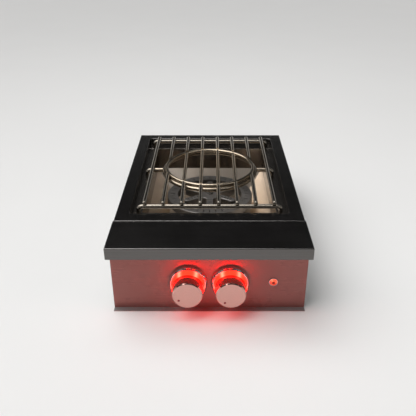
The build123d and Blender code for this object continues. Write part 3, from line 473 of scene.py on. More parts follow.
@dataclass(frozen=True)
class CastMetal(Finish):
    """Sand-cast or die-cast metal with a grainy skin, sooty in patches."""

    grain_scale: float = 900.0
    grain_roughness: float = 0.6
    grain_shades: Span = (0.82, 1.12)
    grain_gloss: float = 0.2
    depth: float = 0.05 * MM
    edge: float = 0.4 * MM
    soot: Rgb = (0.05, 0.045, 0.04)
    soot_share: float = 0.25
    soot_scale: float = 45.0
    soot_detail: float = 4.0
    soot_span: Span = (0.5, 0.75)
    soot_gloss: float = 0.3

    def surface(self, shader: Shader) -> Wire:
        """Cast metal.

        Args:
            shader: the shader to build it in.

        Returns:
            The surface.
        """
        place = shader.place()
        grain = shader.noise(place, self.grain_scale, FINE_DETAIL, self.grain_roughness)
        cloud = shader.noise(place, self.soot_scale, self.soot_detail, self.grain_roughness)
        skin = self.toned(shader, grain.remap(*TONE_SPAN), *self.grain_shades)
        dirt = cloud.remap(*self.soot_span) * self.soot_share
        return shader.principled({
            "Base Color": shader.mix(dirt, skin, self.soot),
            "Metallic": 1.0 - dirt,
            "Roughness": self.roughness + grain.swing(self.grain_gloss) + dirt * self.soot_gloss,
            "Normal": shader.bump(grain, self.depth, self.edge),
        })


@dataclass(frozen=True)
class PlatedPipe(Finish):
    """Zinc-plated or nickel-plated steel with a faint spangle."""

    cell: float = 130.0
    cell_shades: Span = (0.85, 1.1)
    cell_gloss: float = 0.12
    cloud_scale: float = 300.0
    cloud_gloss: float = 0.1
    depth: float = 0.01 * MM

    def surface(self, shader: Shader) -> Wire:
        """Plated steel.

        Args:
            shader: the shader to build it in.

        Returns:
            The surface.
        """
        place = shader.place()
        inputs = {"Vector": place, "Scale": self.cell}
        spangle = shader.node("ShaderNodeTexVoronoi", inputs=inputs, output="Color").part("X")
        cloud = shader.noise(place, self.cloud_scale, FINE_DETAIL)
        return shader.principled({
            "Base Color": self.toned(shader, spangle, *self.cell_shades),
            "Metallic": 1.0,
            "Roughness": self.roughness + spangle.swing(self.cell_gloss) + cloud.swing(self.cloud_gloss),
            "Normal": shader.bump(cloud, self.depth),
        })


@dataclass(frozen=True)
class Moulded(Finish):
    """Plastic, enamel, ceramic or board: a fine skin under a coat."""

    grain_scale: float = 1400.0
    depth: float = 0.02 * MM
    coat: float = 0.0
    speckle: float = 0.1
    cloud_scale: float = 80.0
    cloud_gloss: float = 0.12

    def surface(self, shader: Shader) -> Wire:
        """Moulded or glazed skin.

        Args:
            shader: the shader to build it in.

        Returns:
            The surface.
        """
        place = shader.place()
        grain = shader.noise(place, self.grain_scale)
        cloud = shader.noise(place, self.cloud_scale, FINE_DETAIL)
        tone = ((grain + cloud) / 2).remap(*TONE_SPAN)
        return shader.principled({
            "Base Color": self.toned(shader, tone, 1 - self.speckle, 1 + self.speckle),
            "Roughness": self.roughness + cloud.swing(self.cloud_gloss),
            "Coat Weight": self.coat,
            "Normal": shader.bump(grain, self.depth),
        })


@dataclass(frozen=True)
class LitLens(Finish):
    """Red lens lit from behind by a ring of small lamps, with a painted highlight that makes it brighter and
    more orange towards its top, and darker within an inner margin: painted shade of the gap beside a knob, or
    a button's unlit middle.
    """

    hot: Rgb = (1.0, 0.009, 0.0035)
    core: Rgb = (1.0, 0.03, 0.018)
    centre: Point = ORIGIN
    radius: float = 37.0 * MM
    margin: Span = (33.3 * MM, 34.2 * MM)
    lamps: int = 6
    strength: float = 17.0
    low_share: float = 0.3
    dim_share: float = 0.25
    painted_highlight_span: Span = (-0.6, 0.9)
    spot_power: float = 3.0
    glow_shares: tuple[float, float, float] = (0.3, 0.55, 0.15)
    haze_scale: float = 160.0
    haze_gloss: float = 0.1
    shades: Span = (0.3, 0.4)
    specular: float = 0.25
    coat: float = 0.1
    coat_roughness: float = 0.12

    def surface(self, shader: Shader) -> Wire:
        """Glowing lens.

        Args:
            shader: the shader to build it in.

        Returns:
            The surface.
        """
        place = shader.centred(self.centre)
        angle = shader.math("ARCTAN2", place.part("Z"), place.part("X"))
        spot = ((shader.math("COSINE", angle * float(self.lamps)) + 1) / 2) ** self.spot_power
        # Painted highlight: the lens grows brighter and more orange towards its top.
        painted_highlight = (place.part("Z") / self.radius).remap(*self.painted_highlight_span)
        haze = shader.noise(place, self.haze_scale, FINE_DETAIL)
        by_rise, by_spot, by_haze = self.glow_shares
        glow = painted_highlight * by_rise + spot * by_spot + haze * by_haze
        lit = shader.mix(spot ** self.spot_power, shader.mix(glow, self.tint, self.hot), self.core)
        # Darker within an inner margin: on a knob's lens this is painted shade of the gap between lens and
        # knob; on the switch's button it leaves the unlit middle.
        inner = shader.reach(place).remap(*self.margin, self.dim_share, 1.0)
        level = (painted_highlight * (1 - self.low_share) + self.low_share) * inner
        return shader.principled({
            "Base Color": self.toned(shader, haze, *self.shades),
            "Roughness": self.roughness + haze.swing(self.haze_gloss),
            "Specular IOR Level": self.specular,
            "Coat Weight": self.coat,
            "Coat Roughness": self.coat_roughness,
            "Emission Color": shader.mix(level, BLACK, lit),
            "Emission Strength": self.strength,
        })


@dataclass(frozen=True)
class PaleFloor(Finish):
    """Matt pale studio floor."""

    cloud_scale: float = 3.0
    cloud_detail: float = 4.0
    cloud_shades: Span = (0.985, 1.015)
    cloud_gloss: float = 0.05
    specular: float = 0.2

    def surface(self, shader: Shader) -> Wire:
        """Painted floor with a hardly visible mottle.

        Args:
            shader: the shader to build it in.

        Returns:
            The surface.
        """
        cloud = shader.noise(shader.place(), self.cloud_scale, self.cloud_detail)
        return shader.principled({
            "Base Color": self.toned(shader, cloud, *self.cloud_shades),
            "Roughness": self.roughness + cloud.swing(self.cloud_gloss),
            "Specular IOR Level": self.specular,
        })


@dataclass(frozen=True)
class PaleBackdrop(Finish):
    """Low pale wall that the camera and polished metal see, without lighting the object."""

    def surface(self, shader: Shader) -> Wire:
        """Wall that shows at its written colour.

        Args:
            shader: the shader to build it in.

        Returns:
            The surface.
        """
        camera, glossy, through = (
            shader.node("ShaderNodeLightPath", output=name)
            for name in ("Is Camera Ray", "Is Glossy Ray", "Is Transmission Ray")
        )
        return shader.principled({
            "Base Color": BLACK,
            "Roughness": self.roughness,
            "Specular IOR Level": 0.0,
            "Emission Color": shader.mix(camera + glossy + through, BLACK, self.tint),
            "Emission Strength": 1.0,
        })


class Bench:
    """Modelling with Blender's own operators, one new mesh at a time."""

    @staticmethod
    def fresh(name: str, add: Callable[..., Any], **sizes: Any) -> bpy.types.Object:
        """Add a primitive with nothing else selected.

        Args:
            name: name of the new piece and its mesh.
            add: the operator that adds the primitive.
            sizes: its sizes and place.

        Returns:
            The new piece.
        """
        bpy.ops.object.select_all(action="DESELECT")
        add(**sizes)
        return Bench.named(bpy.context.active_object, name)

    @staticmethod
    def named(piece: bpy.types.Object, name: str) -> bpy.types.Object:
        """Name a piece and its mesh."""
        piece.name = piece.data.name = name
        return piece

    @staticmethod
    def only(*pieces: bpy.types.Object) -> None:
        """Select these pieces alone and make the first one active.

        Args:
            pieces: the pieces to work on.
        """
        bpy.ops.object.select_all(action="DESELECT")
        for piece in pieces:
            piece.select_set(True)
        bpy.context.view_layer.objects.active = pieces[0]

    @staticmethod
    def edit(piece: bpy.types.Object, element: str, test: Callable[[Any], bool]) -> None:
        """Enter edit mode with the chosen faces, edges or points selected.

        Args:
            piece: the mesh to work on.
            element: FACE, EDGE or VERT.
            test: says whether a face, edge or point is chosen.
        """
        Bench.only(piece)
        bpy.ops.object.mode_set(mode="EDIT")
        bpy.ops.mesh.select_mode(type=element)
        bpy.ops.mesh.select_all(action="DESELECT")
        bpy.ops.object.mode_set(mode="OBJECT")
        mesh = piece.data
        pool = {"FACE": mesh.polygons, "EDGE": mesh.edges, "VERT": mesh.vertices}[element]
        for item in pool:
            item.select = test(item)
        bpy.ops.object.mode_set(mode="EDIT")

    @staticmethod
    def done() -> None:
        """Leave edit mode."""
        bpy.ops.object.mode_set(mode="OBJECT")

    @staticmethod
    def apply(piece: bpy.types.Object, kind: str, **settings: Any) -> None:
        """Add one modifier, set it and apply it.

        Args:
            piece: the mesh to change.
            kind: the modifier's type.
            settings: its settings.
        """
        Bench.only(piece)
        modifier = piece.modifiers.new(kind.title(), kind)
        for key, value in settings.items():
            setattr(modifier, key, value)
        bpy.ops.object.modifier_apply(modifier=modifier.name)

    @staticmethod
    def settle(piece: bpy.types.Object, smooth_angle: float = 40.0) -> bpy.types.Object:
        """Put a piece's place into its mesh and smooth it.

        Args:
            piece: the finished mesh.
            smooth_angle: edges sharper than this many degrees stay sharp.

        Returns:
            The same piece.
        """
        Bench.only(piece)
        bpy.ops.object.transform_apply(location=True, rotation=True, scale=True)
        bpy.ops.object.shade_smooth_by_angle(angle=math.radians(smooth_angle))
        return piece

    @staticmethod
    def drop(piece: bpy.types.Object) -> None:
        """Remove a helper piece and its mesh.

        Args:
            piece: the helper that is no longer needed.
        """
        mesh = piece.data
        bpy.data.objects.remove(piece)
        bpy.data.meshes.remove(mesh)

    @staticmethod
    def join(name: str, pieces: list[bpy.types.Object]) -> bpy.types.Object:
        """Join several pieces into one.

        Args:
            name: name of the joined piece.
            pieces: the pieces, of which the first takes in the others.

        Returns:
            The joined piece.
        """
        Bench.only(*pieces)
        bpy.ops.object.join()
        return Bench.named(pieces[0], name)

    @staticmethod
    def group(name: str, pattern: bpy.types.Object, places: list[Matrix]) -> bpy.types.Object:
        """Copy a modelled piece to several places and join the copies.

        Args:
            name: name of the joined piece.
            pattern: the piece that is copied, modelled at the origin.
            places: where each copy goes.

        Returns:
            The joined piece.
        """
        copies = []
        for place in places:
            copy = pattern.copy()
            copy.data = pattern.data.copy()
            copy.data.transform(place)
            bpy.context.scene.collection.objects.link(copy)
            copies.append(copy)
        return Bench.join(name, copies)


def dress_piece(piece: bpy.types.Object, material: bpy.types.Material, body: Body) -> None:
    """Give a new piece its finish and body.

    Args:
        piece: the finished mesh.
        material: its material.
        body: the body that it moves with.
    """
    piece.data.materials.clear()
    piece.data.materials.append(material)
    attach(piece, body.value)
    LOG.info("piece %s: %s on %s", piece.name, material.name, body.value)


def dress_nodes(material: bpy.types.Material, *nodes: str) -> None:
    """Give frame nodes a finish.

    Args:
        material: the finish.
        nodes: names of the nodes.
    """
    for node in nodes:
        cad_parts[node].material_slots[0].material = material
        LOG.info("node %s: %s", node, material.name)


@dataclass
class PanHeadScrew:
    """Domed screw head with a cross recess, modelled once and copied."""

    radius: float = 3.4 * MM
    height: float = 2.4 * MM
    recess_width: float = 1.0 * MM
    recess_depth: float = 1.1 * MM
    recess_share: float = 1.15
    dome_share: float = 0.75
    dome_segments: int = 5
    sides: int = 28

    def build(self) -> bpy.types.Object:
        """Model one head on the origin, with its top towards +Z.

        Returns:
            The head.
        """
        middle = (0.0, 0.0, self.height / 2)
        head = Bench.fresh(
            "screw_head", bpy.ops.mesh.primitive_cylinder_add,
            vertices=self.sides, radius=self.radius, depth=self.height, location=middle,
        )
        Bench.settle(head)
        points = head.data.vertices
        Bench.edit(head, "EDGE", lambda edge: all(points[v].co.z > middle[2] for v in edge.vertices))
        bpy.ops.mesh.bevel(
            offset=self.height * self.dome_share, segments=self.dome_segments,
            profile=0.5, clamp_overlap=False,
        )
        Bench.done()
        for turn in (0.0, math.pi / 2):
            self.cut_slot(head, turn)
        return Bench.settle(head)

    def cut_slot(self, head: bpy.types.Object, turn: float) -> None:
        """Cut one bar of the cross recess.

        Args:
            head: the screw head.
            turn: angle of the bar in radians.
        """
        cutter = Bench.fresh(
            "recess_bar", bpy.ops.mesh.primitive_cube_add, size=1.0,
            location=(0.0, 0.0, self.height), rotation=(0.0, 0.0, turn),
            scale=(self.radius * self.recess_share, self.recess_width, 2 * self.recess_depth),
        )
        Bench.apply(head, "BOOLEAN", object=cutter, operation="DIFFERENCE", solver="EXACT")
        Bench.drop(cutter)


@dataclass
class WeldBead:
    """Small uneven weld between two round rods."""

    radius: float = 3.0 * MM
    unevenness: float = 0.3 * MM
    outward_share: float = 0.8
    sideways_share: float = 0.2
    flattening: Point = (1.35, 1.35, 0.75)
    smoothing: float = 0.5
    passes: int = 2
    seed: int = 7

    def build(self) -> bpy.types.Object:
        """Model one bead on the origin.

        Returns:
            The bead.
        """
        bead = Bench.fresh(
            "weld_bead", bpy.ops.mesh.primitive_ico_sphere_add, subdivisions=3, radius=self.radius,
        )
        Bench.edit(bead, "VERT", lambda point: True)
        bpy.ops.transform.vertex_random(
            offset=self.unevenness, uniform=self.sideways_share, normal=self.outward_share, seed=self.seed,
        )
        bpy.ops.transform.resize(value=self.flattening)
        bpy.ops.mesh.vertices_smooth(factor=self.smoothing, repeat=self.passes)
        Bench.done()
        return Bench.settle(bead, smooth_angle=180.0)


def turned_to(normal: Vector, point: Vector, spin: float = 0.0) -> Matrix:
    """Place for a pattern whose +Z is turned to a direction.

    Args:
        normal: direction that +Z gets.
        point: where the origin goes.
        spin: turn about its own axis in radians.

    Returns:
        The place as a matrix.
    """
    turn = normal.to_track_quat("Z", "Y").to_matrix().to_4x4()
    return Matrix.Translation(point) @ turn @ Matrix.Rotation(spin, 4, "Z")


@dataclass
class Chassis:
    """Sheet-metal box with its hood, control panel, rim and screws."""

    screw_inset: float = 9.0 * MM
    screw_rows: tuple[float, ...] = (0.12, 0.5, 0.88)
    screw_turn: float = 0.7

    def dress(self) -> None:
        """Give the sheets their finishes."""
        # Painted shade: the hood and rim are darkened far below plain steel where they face up or forward;
        # faces that look down keep a paler steel tone.
        hood = BrushedSheet(
            "brushed_hood", (0.135, 0.129, 0.125), roughness=0.2, painted_light_tint=(0.55, 0.54, 0.53),
        )
        dress_nodes(hood.make(), "front_hood", "top_frame")
        # Painted light: faces that look to the front take a red tint that stands for the red glow of the knob
        # lights.
        panel = BrushedSheet(
            "brushed_panel", (0.34, 0.325, 0.32), roughness=0.28, depth=0.03 * MM, contrast=0.04, haze=0.8,
            painted_light_tint=(0.44, 0.195, 0.175), painted_light_axis="Y",
        )
        dress_nodes(panel.make(), "control_panel")
        shell = BrushedSheet(
            "mill_sheet", (0.36, 0.355, 0.35), roughness=0.38,
            grain=Grain.ALONG_Y, end_grain=Grain.ALONG_X, end_axis="Y",
        )
        dress_nodes(
            shell.make(), "left_side_panel", "right_side_panel", "rear_panel", "bottom_panel",
            "front_bulkhead", "manifold_brackets", "electrode_bracket",
        )

    def screw_places(self, panel: str, columns: list[Span], normal: Point) -> list[Matrix]:
        """Work out upright columns of screws in a panel.

        Args:
            panel: the panel's frame node.
            columns: where each column stands, across the box and along it.
            normal: direction that the heads face.

        Returns:
            The screws' places.
        """
        low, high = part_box(panel)
        return [
            turned_to(Vector(normal), Vector((x, y, low.z + row * (high.z - low.z))), self.screw_turn * index)
            for x, y in columns
            for index, row in enumerate(self.screw_rows)
        ]

    def build(self, plated: bpy.types.Material) -> None:
        """Model the screws of the side panels and of the rear panel.

        Args:
            plated: finish of the screws.
        """
        low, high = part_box("rear_panel")
        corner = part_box("bottom_panel")[1]
        lines = (node_centre("front_bulkhead").y, low.y + self.screw_inset)
        edges = (low.x + self.screw_inset, high.x - self.screw_inset)
        sides = []
        for panel, hand in (("left_side_panel", -1.0), ("right_side_panel", 1.0)):
            sides += self.screw_places(panel, [(hand * corner.x, y) for y in lines], (hand, 0.0, 0.0))
        rear = self.screw_places("rear_panel", [(x, corner.y) for x in edges], (0.0, 1.0, 0.0))
        pattern = PanHeadScrew().build()
        for name, places in (("side_screws", sides), ("rear_screws", rear)):
            dress_piece(Bench.group(name, pattern, places), plated, Body.CHASSIS)
        Bench.drop(pattern)


@dataclass
class Burners:
    """Well, burner castings, venturi tubes and igniter."""

    flame_height: float = 105.0 * MM

    def dress(self, plated: bpy.types.Material) -> None:
        """Give the burner pieces their finishes.

        Args:
            plated: finish of the bolt, and of the other small turned pieces.
        """
        middle = node_centre("star_burner")
        heart = (middle.x, middle.y, self.flame_height)
        liner = HeatedSteel(
            "liner_steel", (0.3, 0.275, 0.25), roughness=0.2, centre=heart, reach=0.2, most=0.4,
            depth=0.002 * MM, marking=0.03,
        )
        dress_nodes(liner.make(), "well_liner")
        pan = HeatedSteel(
            "well_steel", (0.6, 0.52, 0.44), roughness=0.3, centre=heart, reach=0.24, most=0.5,
            depth=0.002 * MM, marking=0.03,
        )
        dress_nodes(pan.make(), "burner_pan", "burner_support")
        casting = CastMetal("burner_casting", (0.24, 0.225, 0.21), roughness=0.45)
        dress_nodes(casting.make(), "ring_burner", "ring_cover", "star_burner", "star_cover")
        tube = HeatedSteel(
            "drawn_tube", (0.55, 0.54, 0.52), roughness=0.3, centre=heart, reach=0.16, grain=Grain.ALONG_Y,
        )
        dress_nodes(tube.make(), "left_venturi", "right_venturi", "left_air_shutter", "right_air_shutter")
        dress_nodes(plated, "burner_bolt", "switch_nut", "left_stem", "right_stem")
        ceramic = Moulded("glazed_ceramic", (0.82, 0.79, 0.72), roughness=0.22, coat=0.6, speckle=0.04)
        dress_nodes(ceramic.make(), "electrode")
        moulding = Moulded("black_moulding", (0.022, 0.022, 0.024), roughness=0.5, speckle=0.2)
        dress_nodes(moulding.make(), "spark_module", "light_driver", "spark_lead")


@dataclass
class GasTrain:
    """Valves, manifold, pipe and the inlet with its thread."""

    thread_radius: float = 7.94 * MM
    thread_pitch: float = 1.8 * MM
    thread_lead: float = 1.0 * MM
    ridge_share: float = 0.45
    ridge_flattening: float = 0.55
    ridge_steps: int = 28
    bonnet_plate: float = 3.2 * MM
    bonnet_screw_pitch: float = 35.0 * MM
    bonnet_screw_turn: float = 0.0175

    def dress(self) -> bpy.types.Material:
        """Give the gas pieces their finishes.

        Returns:
            The brass finish, for the thread.
        """
        pipe = PlatedPipe("zinc_plate", (0.5, 0.5, 0.5), roughness=0.36)
        dress_nodes(pipe.make(), "gas_pipe", "manifold", "manifold_elbow")
        alloy = CastMetal("valve_alloy", (0.56, 0.56, 0.57), roughness=0.4, depth=0.03 * MM, soot_share=0.05)
        dress_nodes(alloy.make(), "left_valve_body", "right_valve_body", "left_bonnet", "right_bonnet")
        brass = Turned(
            "turned_brass", (0.6, 0.42, 0.16), roughness=0.26, centre=tuple(node_centre("inlet_nut")),
        ).make()
        dress_nodes(
            brass, "left_orifice", "right_orifice", "left_valve_plug", "right_valve_plug",
            "gas_inlet", "inlet_nut",
        )
        return brass

    def build(self, brass: bpy.types.Material, plated: bpy.types.Material) -> None:
        """Model the inlet's thread and the bonnet screws.

        Args:
            brass: finish of the thread.
            plated: finish of the screws.
        """
        dress_piece(self.thread(), brass, Body.CHASSIS)
        pattern = PanHeadScrew(radius=2.9 * MM, height=1.9 * MM, recess_width=0.8 * MM).build()
        places = []
        for side in Side:
            centre = node_centre(side.node("valve_plug"))
            plate_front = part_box(side.node("valve_body"))[0].y - self.bonnet_plate
            for hand in (-1, 1):
                point = Vector((centre.x + hand * self.bonnet_screw_pitch / 2, plate_front, centre.z))
                places.append(turned_to(Vector((0.0, -1.0, 0.0)), point, hand * self.bonnet_screw_turn))
        dress_piece(Bench.group("bonnet_screws", pattern, places), plated, Body.CHASSIS)
        Bench.drop(pattern)

    def thread(self) -> bpy.types.Object:
        """Model the helical ridge on the inlet's male end.

        Returns:
            The ridge.
        """
        axis = node_centre("inlet_nut")
        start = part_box("inlet_nut")[1].y
        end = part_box("gas_inlet")[1].y - self.thread_lead
        turns = int((end - start - self.thread_lead) / self.thread_pitch)
        crest = (self.thread_radius, 0.0, 0.0)
        ridge = Bench.fresh(
            "inlet_thread", bpy.ops.mesh.primitive_circle_add, vertices=3, fill_type="NGON",
            radius=self.thread_pitch * self.ridge_share, location=crest, rotation=(math.pi / 2, 0.0, 0.0),
        )
        Bench.settle(ridge)
        Bench.edit(ridge, "VERT", lambda point: True)
        bpy.ops.transform.resize(value=(self.ridge_flattening, 1.0, 1.0), center_override=crest)
        Bench.done()
        Bench.apply(
            ridge, "SCREW", axis="Z", angle=2 * math.pi, screw_offset=self.thread_pitch, iterations=turns,
            steps=self.ridge_steps, render_steps=self.ridge_steps,
            use_merge_vertices=True, merge_threshold=MERGE_GAP,
        )
        Bench.edit(ridge, "FACE", lambda face: True)
        bpy.ops.mesh.remove_doubles(threshold=MERGE_GAP)
        bpy.ops.mesh.normals_make_consistent(inside=False)
        Bench.done()
        foot = Vector((axis.x, end - turns * self.thread_pitch, axis.z))
        ridge.data.transform(turned_to(Vector((0.0, 1.0, 0.0)), foot))
        return Bench.settle(ridge, smooth_angle=30.0)


@dataclass
class ControlSet:
    """One knob with its bezel, light collar, board and index ticks."""

    side: Side
    tick_width: float = 1.7 * MM
    tick_length: float = 2.4 * MM
    tick_thickness: float = 0.25 * MM
    tick_reach: float = 38.8 * MM
    tick_turns: tuple[float, ...] = (-13.0, -6.5, 0.0, 6.5, 13.0)
    tick_cuts: int = 5
    tick_clearance: float = 4.0 * MM
    middle_tick: float = 1.25
    lens_red: Rgb = (1.0, 0.002, 0.0008)

    @property
    def centre(self) -> Vector:
        """Middle of the knob, on its axis."""
        return node_centre(self.side.node("knob"))

    def dress(self, board: bpy.types.Material, enamel: bpy.types.Material) -> None:
        """Give this control's pieces their finishes.

        Args:
            board: finish of the light board.
            enamel: finish of the pointer dot.
        """
        name = self.side.value
        centre = tuple(self.centre)
        # Painted light: the knob's pink tint stands for the red glow of the lights falling on its steel.
        knob = Turned(
            f"{name}_knob_satin", (0.69, 0.38, 0.33), roughness=0.34, centre=centre,
            pitch=0.6 * MM, depth=0.04 * MM, face_share=0.1, side_roughening=-0.1, bevel_polish=0.85,
        )
        dress_nodes(knob.make(), self.side.node("knob"))
        chrome = Turned(
            f"{name}_bezel_chrome", (0.66, 0.65, 0.65), roughness=0.1, centre=centre, depth=0.001 * MM,
        )
        dress_nodes(chrome.make(), self.side.node("bezel"))
        # The lens carries a painted highlight towards its top and painted shade along its inner edge.
        lens = LitLens(f"{name}_light_lens", self.lens_red, roughness=0.3, centre=centre)
        dress_nodes(lens.make(), self.side.node("light_ring"))
        dress_nodes(board, self.side.node("light_board"))
        dress_nodes(enamel, self.side.node("pointer"))

    def build(self, enamel: bpy.types.Material) -> None:
        """Model the index ticks on the bezel's upper flank.

        Args:
            enamel: finish of the ticks.
        """
        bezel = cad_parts[self.side.node("bezel")]
        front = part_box(bezel.name)[0].y - self.tick_clearance
        ticks = []
        for index, turn in enumerate(self.tick_turns):
            length = self.tick_length * (self.middle_tick if turn == 0.0 else 1.0)
            tick = Bench.fresh(
                f"tick_{index}", bpy.ops.mesh.primitive_plane_add, size=1.0,
                rotation=(math.pi / 2, 0.0, 0.0),
            )
            tick.data.transform(Matrix.Diagonal((self.tick_width, length, 1.0, 1.0)))
            Bench.settle(tick)
            lift = Matrix.Translation((0.0, 0.0, self.tick_reach))
            swing = Matrix.Rotation(math.radians(turn), 4, "Y")
            seat = Matrix.Translation((self.centre.x, front, self.centre.z))
            tick.data.transform(seat @ swing @ lift)
            Bench.edit(tick, "FACE", lambda face: True)
            bpy.ops.mesh.subdivide(number_cuts=self.tick_cuts)
            Bench.done()
            Bench.apply(
                tick, "SHRINKWRAP", target=bezel, wrap_method="PROJECT", use_project_y=True,
                use_positive_direction=True, use_negative_direction=True,
            )
            Bench.apply(tick, "SOLIDIFY", thickness=self.tick_thickness, offset=0.0)
            ticks.append(tick)
        joined = Bench.join(self.side.node("bezel_ticks"), ticks)
        dress_piece(Bench.settle(joined), enamel, Body.CHASSIS)


@dataclass
class LightSwitch:
    """Round push switch with a lit ring and a lit rim on its button."""

    lens_radius: float = 8.0 * MM
    cap_margin: Span = (2.8 * MM, 4.0 * MM)

    def dress(self) -> None:
        """Give the switch's pieces their finishes."""
        centre = tuple(node_centre("switch_button"))
        # Painted shade: this chrome is darker than the bezels' to show the dark reflections round the switch.
        chrome = Turned("switch_chrome", (0.42, 0.4, 0.4), roughness=0.1, centre=centre, depth=0.001 * MM)
        dress_nodes(chrome.make(), "switch_housing")
        lens = LitLens(
            "switch_lens", (1.0, 0.05, 0.02), roughness=0.3, hot=(1.0, 0.12, 0.05), core=(1.0, 0.2, 0.1),
            centre=centre, radius=self.lens_radius, lamps=3, strength=2.2, dim_share=1.0,
        )
        dress_nodes(lens.make(), "switch_light")
        cap = replace(lens, name="switch_cap", margin=self.cap_margin, strength=2.0, dim_share=0.02)
        dress_nodes(cap.make(), "switch_button")


@dataclass
class Grate:
    """Rods, rails and rings, with a weld at each crossing."""

    rod_count: int = 8
    insert_rods: int = 4
    weld_turn: float = 0.9
    insert_weld_turn: float = 1.1
    insert_weld_radius: float = 3.9 * MM
    insert_weld_seed: int = 11

    def dress(self) -> bpy.types.Material:
        """Give the grate its finish.

        Returns:
            The finish, for the welds.
        """
        polish = HeatedSteel(
            "polished_rod", (0.27, 0.24, 0.2), roughness=0.18, centre=tuple(node_centre("grate_ring")),
            reach=0.2, most=0.55, depth=0.004 * MM, grain=Grain.ALONG_Y,
        )
        material = polish.make()
        dress_nodes(material, "grate_rods", "grate_rails", "grate_ring", "center_ring", "center_rods")
        return material

    @staticmethod
    def rod_lines(node: str, radius: float, count: int) -> list[float]:
        """Work out where evenly spaced rods run.

        Args:
            node: the frame node that holds them.
            radius: radius of a rod.
            count: number of rods.

        Returns:
            Their places across the grate.
        """
        low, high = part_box(node)
        pitch = (high.x - low.x - 2 * radius) / (count - 1)
        return [low.x + radius + index * pitch for index in range(count)]

    def grate_welds(self) -> list[Matrix]:
        """Work out the welds that fix the rods to the rails and the carrier ring.

        Returns:
            The welds' places.
        """
        low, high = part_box("grate_rods")
        radius = (high.z - low.z) / 2
        rail_low, rail_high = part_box("grate_rails")
        ring_low, ring_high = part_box("grate_ring")
        ring_middle = node_centre("grate_ring")
        wire = (ring_high.z - ring_low.z) / 2
        ring_radius = (ring_high.x - ring_low.x) / 2 - wire
        points = []
        for x in self.rod_lines("grate_rods", radius, self.rod_count):
            points += [(x, rail_low.y + wire), (x, rail_high.y - wire)]
            if abs(x) < ring_radius:
                reach = math.sqrt((ring_radius + radius / 2) ** 2 - x ** 2)
                points += [(x, ring_middle.y - reach), (x, ring_middle.y + reach)]
            elif abs(x) > ring_radius + wire:
                points.append((x, ring_middle.y))
        return [
            Matrix.Translation((x, y, low.z)) @ Matrix.Rotation(index * self.weld_turn, 4, "Z")
            for index, (x, y) in enumerate(points)
        ]

    def insert_welds(self) -> list[Matrix]:
        """Work out the welds at the ends of the insert's rods.

        Returns:
            The welds' places.
        """
        low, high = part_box("center_ring")
        middle = node_centre("center_ring")
        radius = (high.z - low.z) / 2
        inner = (high.x - low.x) / 2 - 2 * radius
        places = []
        for index, x in enumerate(self.rod_lines("center_rods", radius, self.insert_rods)):
            reach = math.sqrt(inner ** 2 - x ** 2)
            turn = Matrix.Rotation(index * self.insert_weld_turn, 4, "Z")
            for y in (middle.y - reach, middle.y + reach):
                places.append(Matrix.Translation((x, y, middle.z)) @ turn)
        return places

    def build(self, material: bpy.types.Material) -> None:
        """Model the welds.

        Args:
            material: finish of the rods.
        """
        insert_bead = WeldBead(radius=self.insert_weld_radius, seed=self.insert_weld_seed)
        for name, bead, places, body in (
            ("grate_welds", WeldBead(), self.grate_welds(), Body.GRATE),
            ("insert_welds", insert_bead, self.insert_welds(), Body.INSERT),
        ):
            pattern = bead.build()
            dress_piece(Bench.group(name, pattern, places), material, body)
            Bench.drop(pattern)


@dataclass
class Lamp:
    """One area lamp of the studio."""

    name: str
    place: Point
    aim: Point
    size: tuple[float, float]
    power: float

    def build(self) -> None:
        """Hang the lamp."""
        light = bpy.data.lights.new(self.name, "AREA")
        light.shape = "RECTANGLE"
        light.size, light.size_y = self.size
        light.energy = self.power
        lamp = bpy.data.objects.new(self.name, light)
        lamp.location = self.place
        towards = Vector(self.aim) - Vector(self.place)
        lamp.rotation_euler = towards.to_track_quat("-Z", "Y").to_euler()
        lamp.visible_camera = True
        bpy.context.scene.collection.objects.link(lamp)
        LOG.info("lamp %s", self.name)


@dataclass
class CeilingLight:
    """Wide even light from above and from the left, the same all over the floor."""

    tilt: Point = (-0.12, -0.5, 0.0)
    strength: float = 2.6
    spread: float = 1.2

    def build(self) -> None:
        """Hang the light."""
        light = bpy.data.lights.new("ceiling_light", "SUN")
        light.energy = self.strength
        light.angle = self.spread
        lamp = bpy.data.objects.new("ceiling_light", light)
        lamp.rotation_euler = self.tilt
        bpy.context.scene.collection.objects.link(lamp)
        LOG.info("lamp ceiling_light")


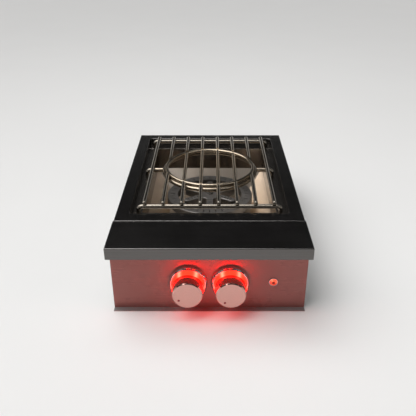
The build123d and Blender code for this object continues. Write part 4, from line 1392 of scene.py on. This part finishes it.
@dataclass
class Studio:
    """Pale floor and backdrop, soft lamps, dim surroundings and the camera."""

    floor_size: float = 24.0
    wall_radius: float = 11.5
    wall_height: float = 3.2
    wall_sides: int = 96
    surround: Rgb = (0.03, 0.03, 0.03)
    middle: Point = (0.0, 0.0, 0.1)
    camera_place: Point = (0.0062, -1.2368, 0.7695)
    camera_tilt: float = 61.58
    camera_lens: float = 46.3
    camera_shift: float = -0.0099

    def floor(self) -> None:
        """Lay the floor."""
        floor = Bench.fresh("studio_floor", bpy.ops.mesh.primitive_plane_add, size=self.floor_size)
        floor.data.materials.append(PaleFloor("pale_floor", (0.78, 0.775, 0.765), roughness=0.7).make())

    def backdrop(self) -> None:
        """Stand the low wall round the floor."""
        wall = Bench.fresh(
            "studio_backdrop", bpy.ops.mesh.primitive_circle_add,
            vertices=self.wall_sides, radius=self.wall_radius,
        )
        Bench.edit(wall, "EDGE", lambda edge: True)
        bpy.ops.mesh.extrude_region_move(TRANSFORM_OT_translate={"value": (0.0, 0.0, self.wall_height)})
        bpy.ops.mesh.select_all(action="SELECT")
        bpy.ops.mesh.normals_make_consistent(inside=True)
        Bench.done()
        Bench.settle(wall)
        wall.data.materials.append(PaleBackdrop("pale_backdrop", (0.61, 0.606, 0.598), roughness=0.9).make())

    def surroundings(self) -> None:
        """Set the dim light that comes from all round."""
        world = bpy.data.worlds.new("studio_surround")
        world.use_nodes = True
        world.node_tree.nodes["Background"].inputs["Color"].default_value = (*self.surround, 1.0)
        bpy.context.scene.world = world

    def lamps(self) -> None:
        """Hang the lamps."""
        CeilingLight().build()
        for lamp in (
            Lamp("key_softbox", (-1.1, -1.3, 2.3), self.middle, size=(1.2, 1.2), power=9.0),
            Lamp("fill_softbox", (1.6, -0.9, 1.7), self.middle, size=(1.0, 1.0), power=4.0),
            Lamp("front_strip", (0.0, -0.55, 2.2), (0.0, -0.4, 0.0), size=(1.9, 0.25), power=7.0),
            Lamp("rear_softbox", (-0.3, 1.0, 2.5), (-0.2, 0.8, 0.0), size=(1.8, 0.6), power=9.0),
        ):
            lamp.build()

    def camera(self) -> None:
        """Set the camera at the viewing angle."""
        data = bpy.data.cameras.new("front_camera")
        data.lens = self.camera_lens
        data.shift_x = self.camera_shift
        camera = bpy.data.objects.new("front_camera", data)
        camera.location = self.camera_place
        camera.rotation_euler = (math.radians(self.camera_tilt), 0.0, 0.0)
        bpy.context.scene.collection.objects.link(camera)
        bpy.context.scene.camera = camera

    def build(self) -> None:
        """Set up the whole studio."""
        self.floor()
        self.backdrop()
        self.surroundings()
        self.lamps()
        self.camera()
        bpy.context.scene.view_settings.view_transform = "Standard"


def main() -> None:
    """Dress the frame, add the modelled pieces and set up the studio."""
    logging.basicConfig(level=logging.INFO, format="%(message)s")
    plated = PlatedPipe("nickel_plate", (0.55, 0.54, 0.52), roughness=0.25, cell=900.0).make()
    chassis = Chassis()
    chassis.dress()
    chassis.build(plated)
    Burners().dress(plated)
    gas_train = GasTrain()
    gas_train.build(gas_train.dress(), plated)
    board = Moulded("white_board", (0.7, 0.7, 0.66), roughness=0.4, coat=0.3).make()
    red_enamel = Moulded("red_enamel", (0.3, 0.006, 0.018), roughness=0.45).make()
    dark_enamel = Moulded("dark_enamel", (0.02, 0.012, 0.012), roughness=0.4, coat=0.3).make()
    for side in Side:
        control = ControlSet(side)
        control.dress(board, red_enamel)
        control.build(dark_enamel)
    LightSwitch().dress()
    grate = Grate()
    grate.build(grate.dress())
    Studio().build()


if __name__ == "__main__":
    main()
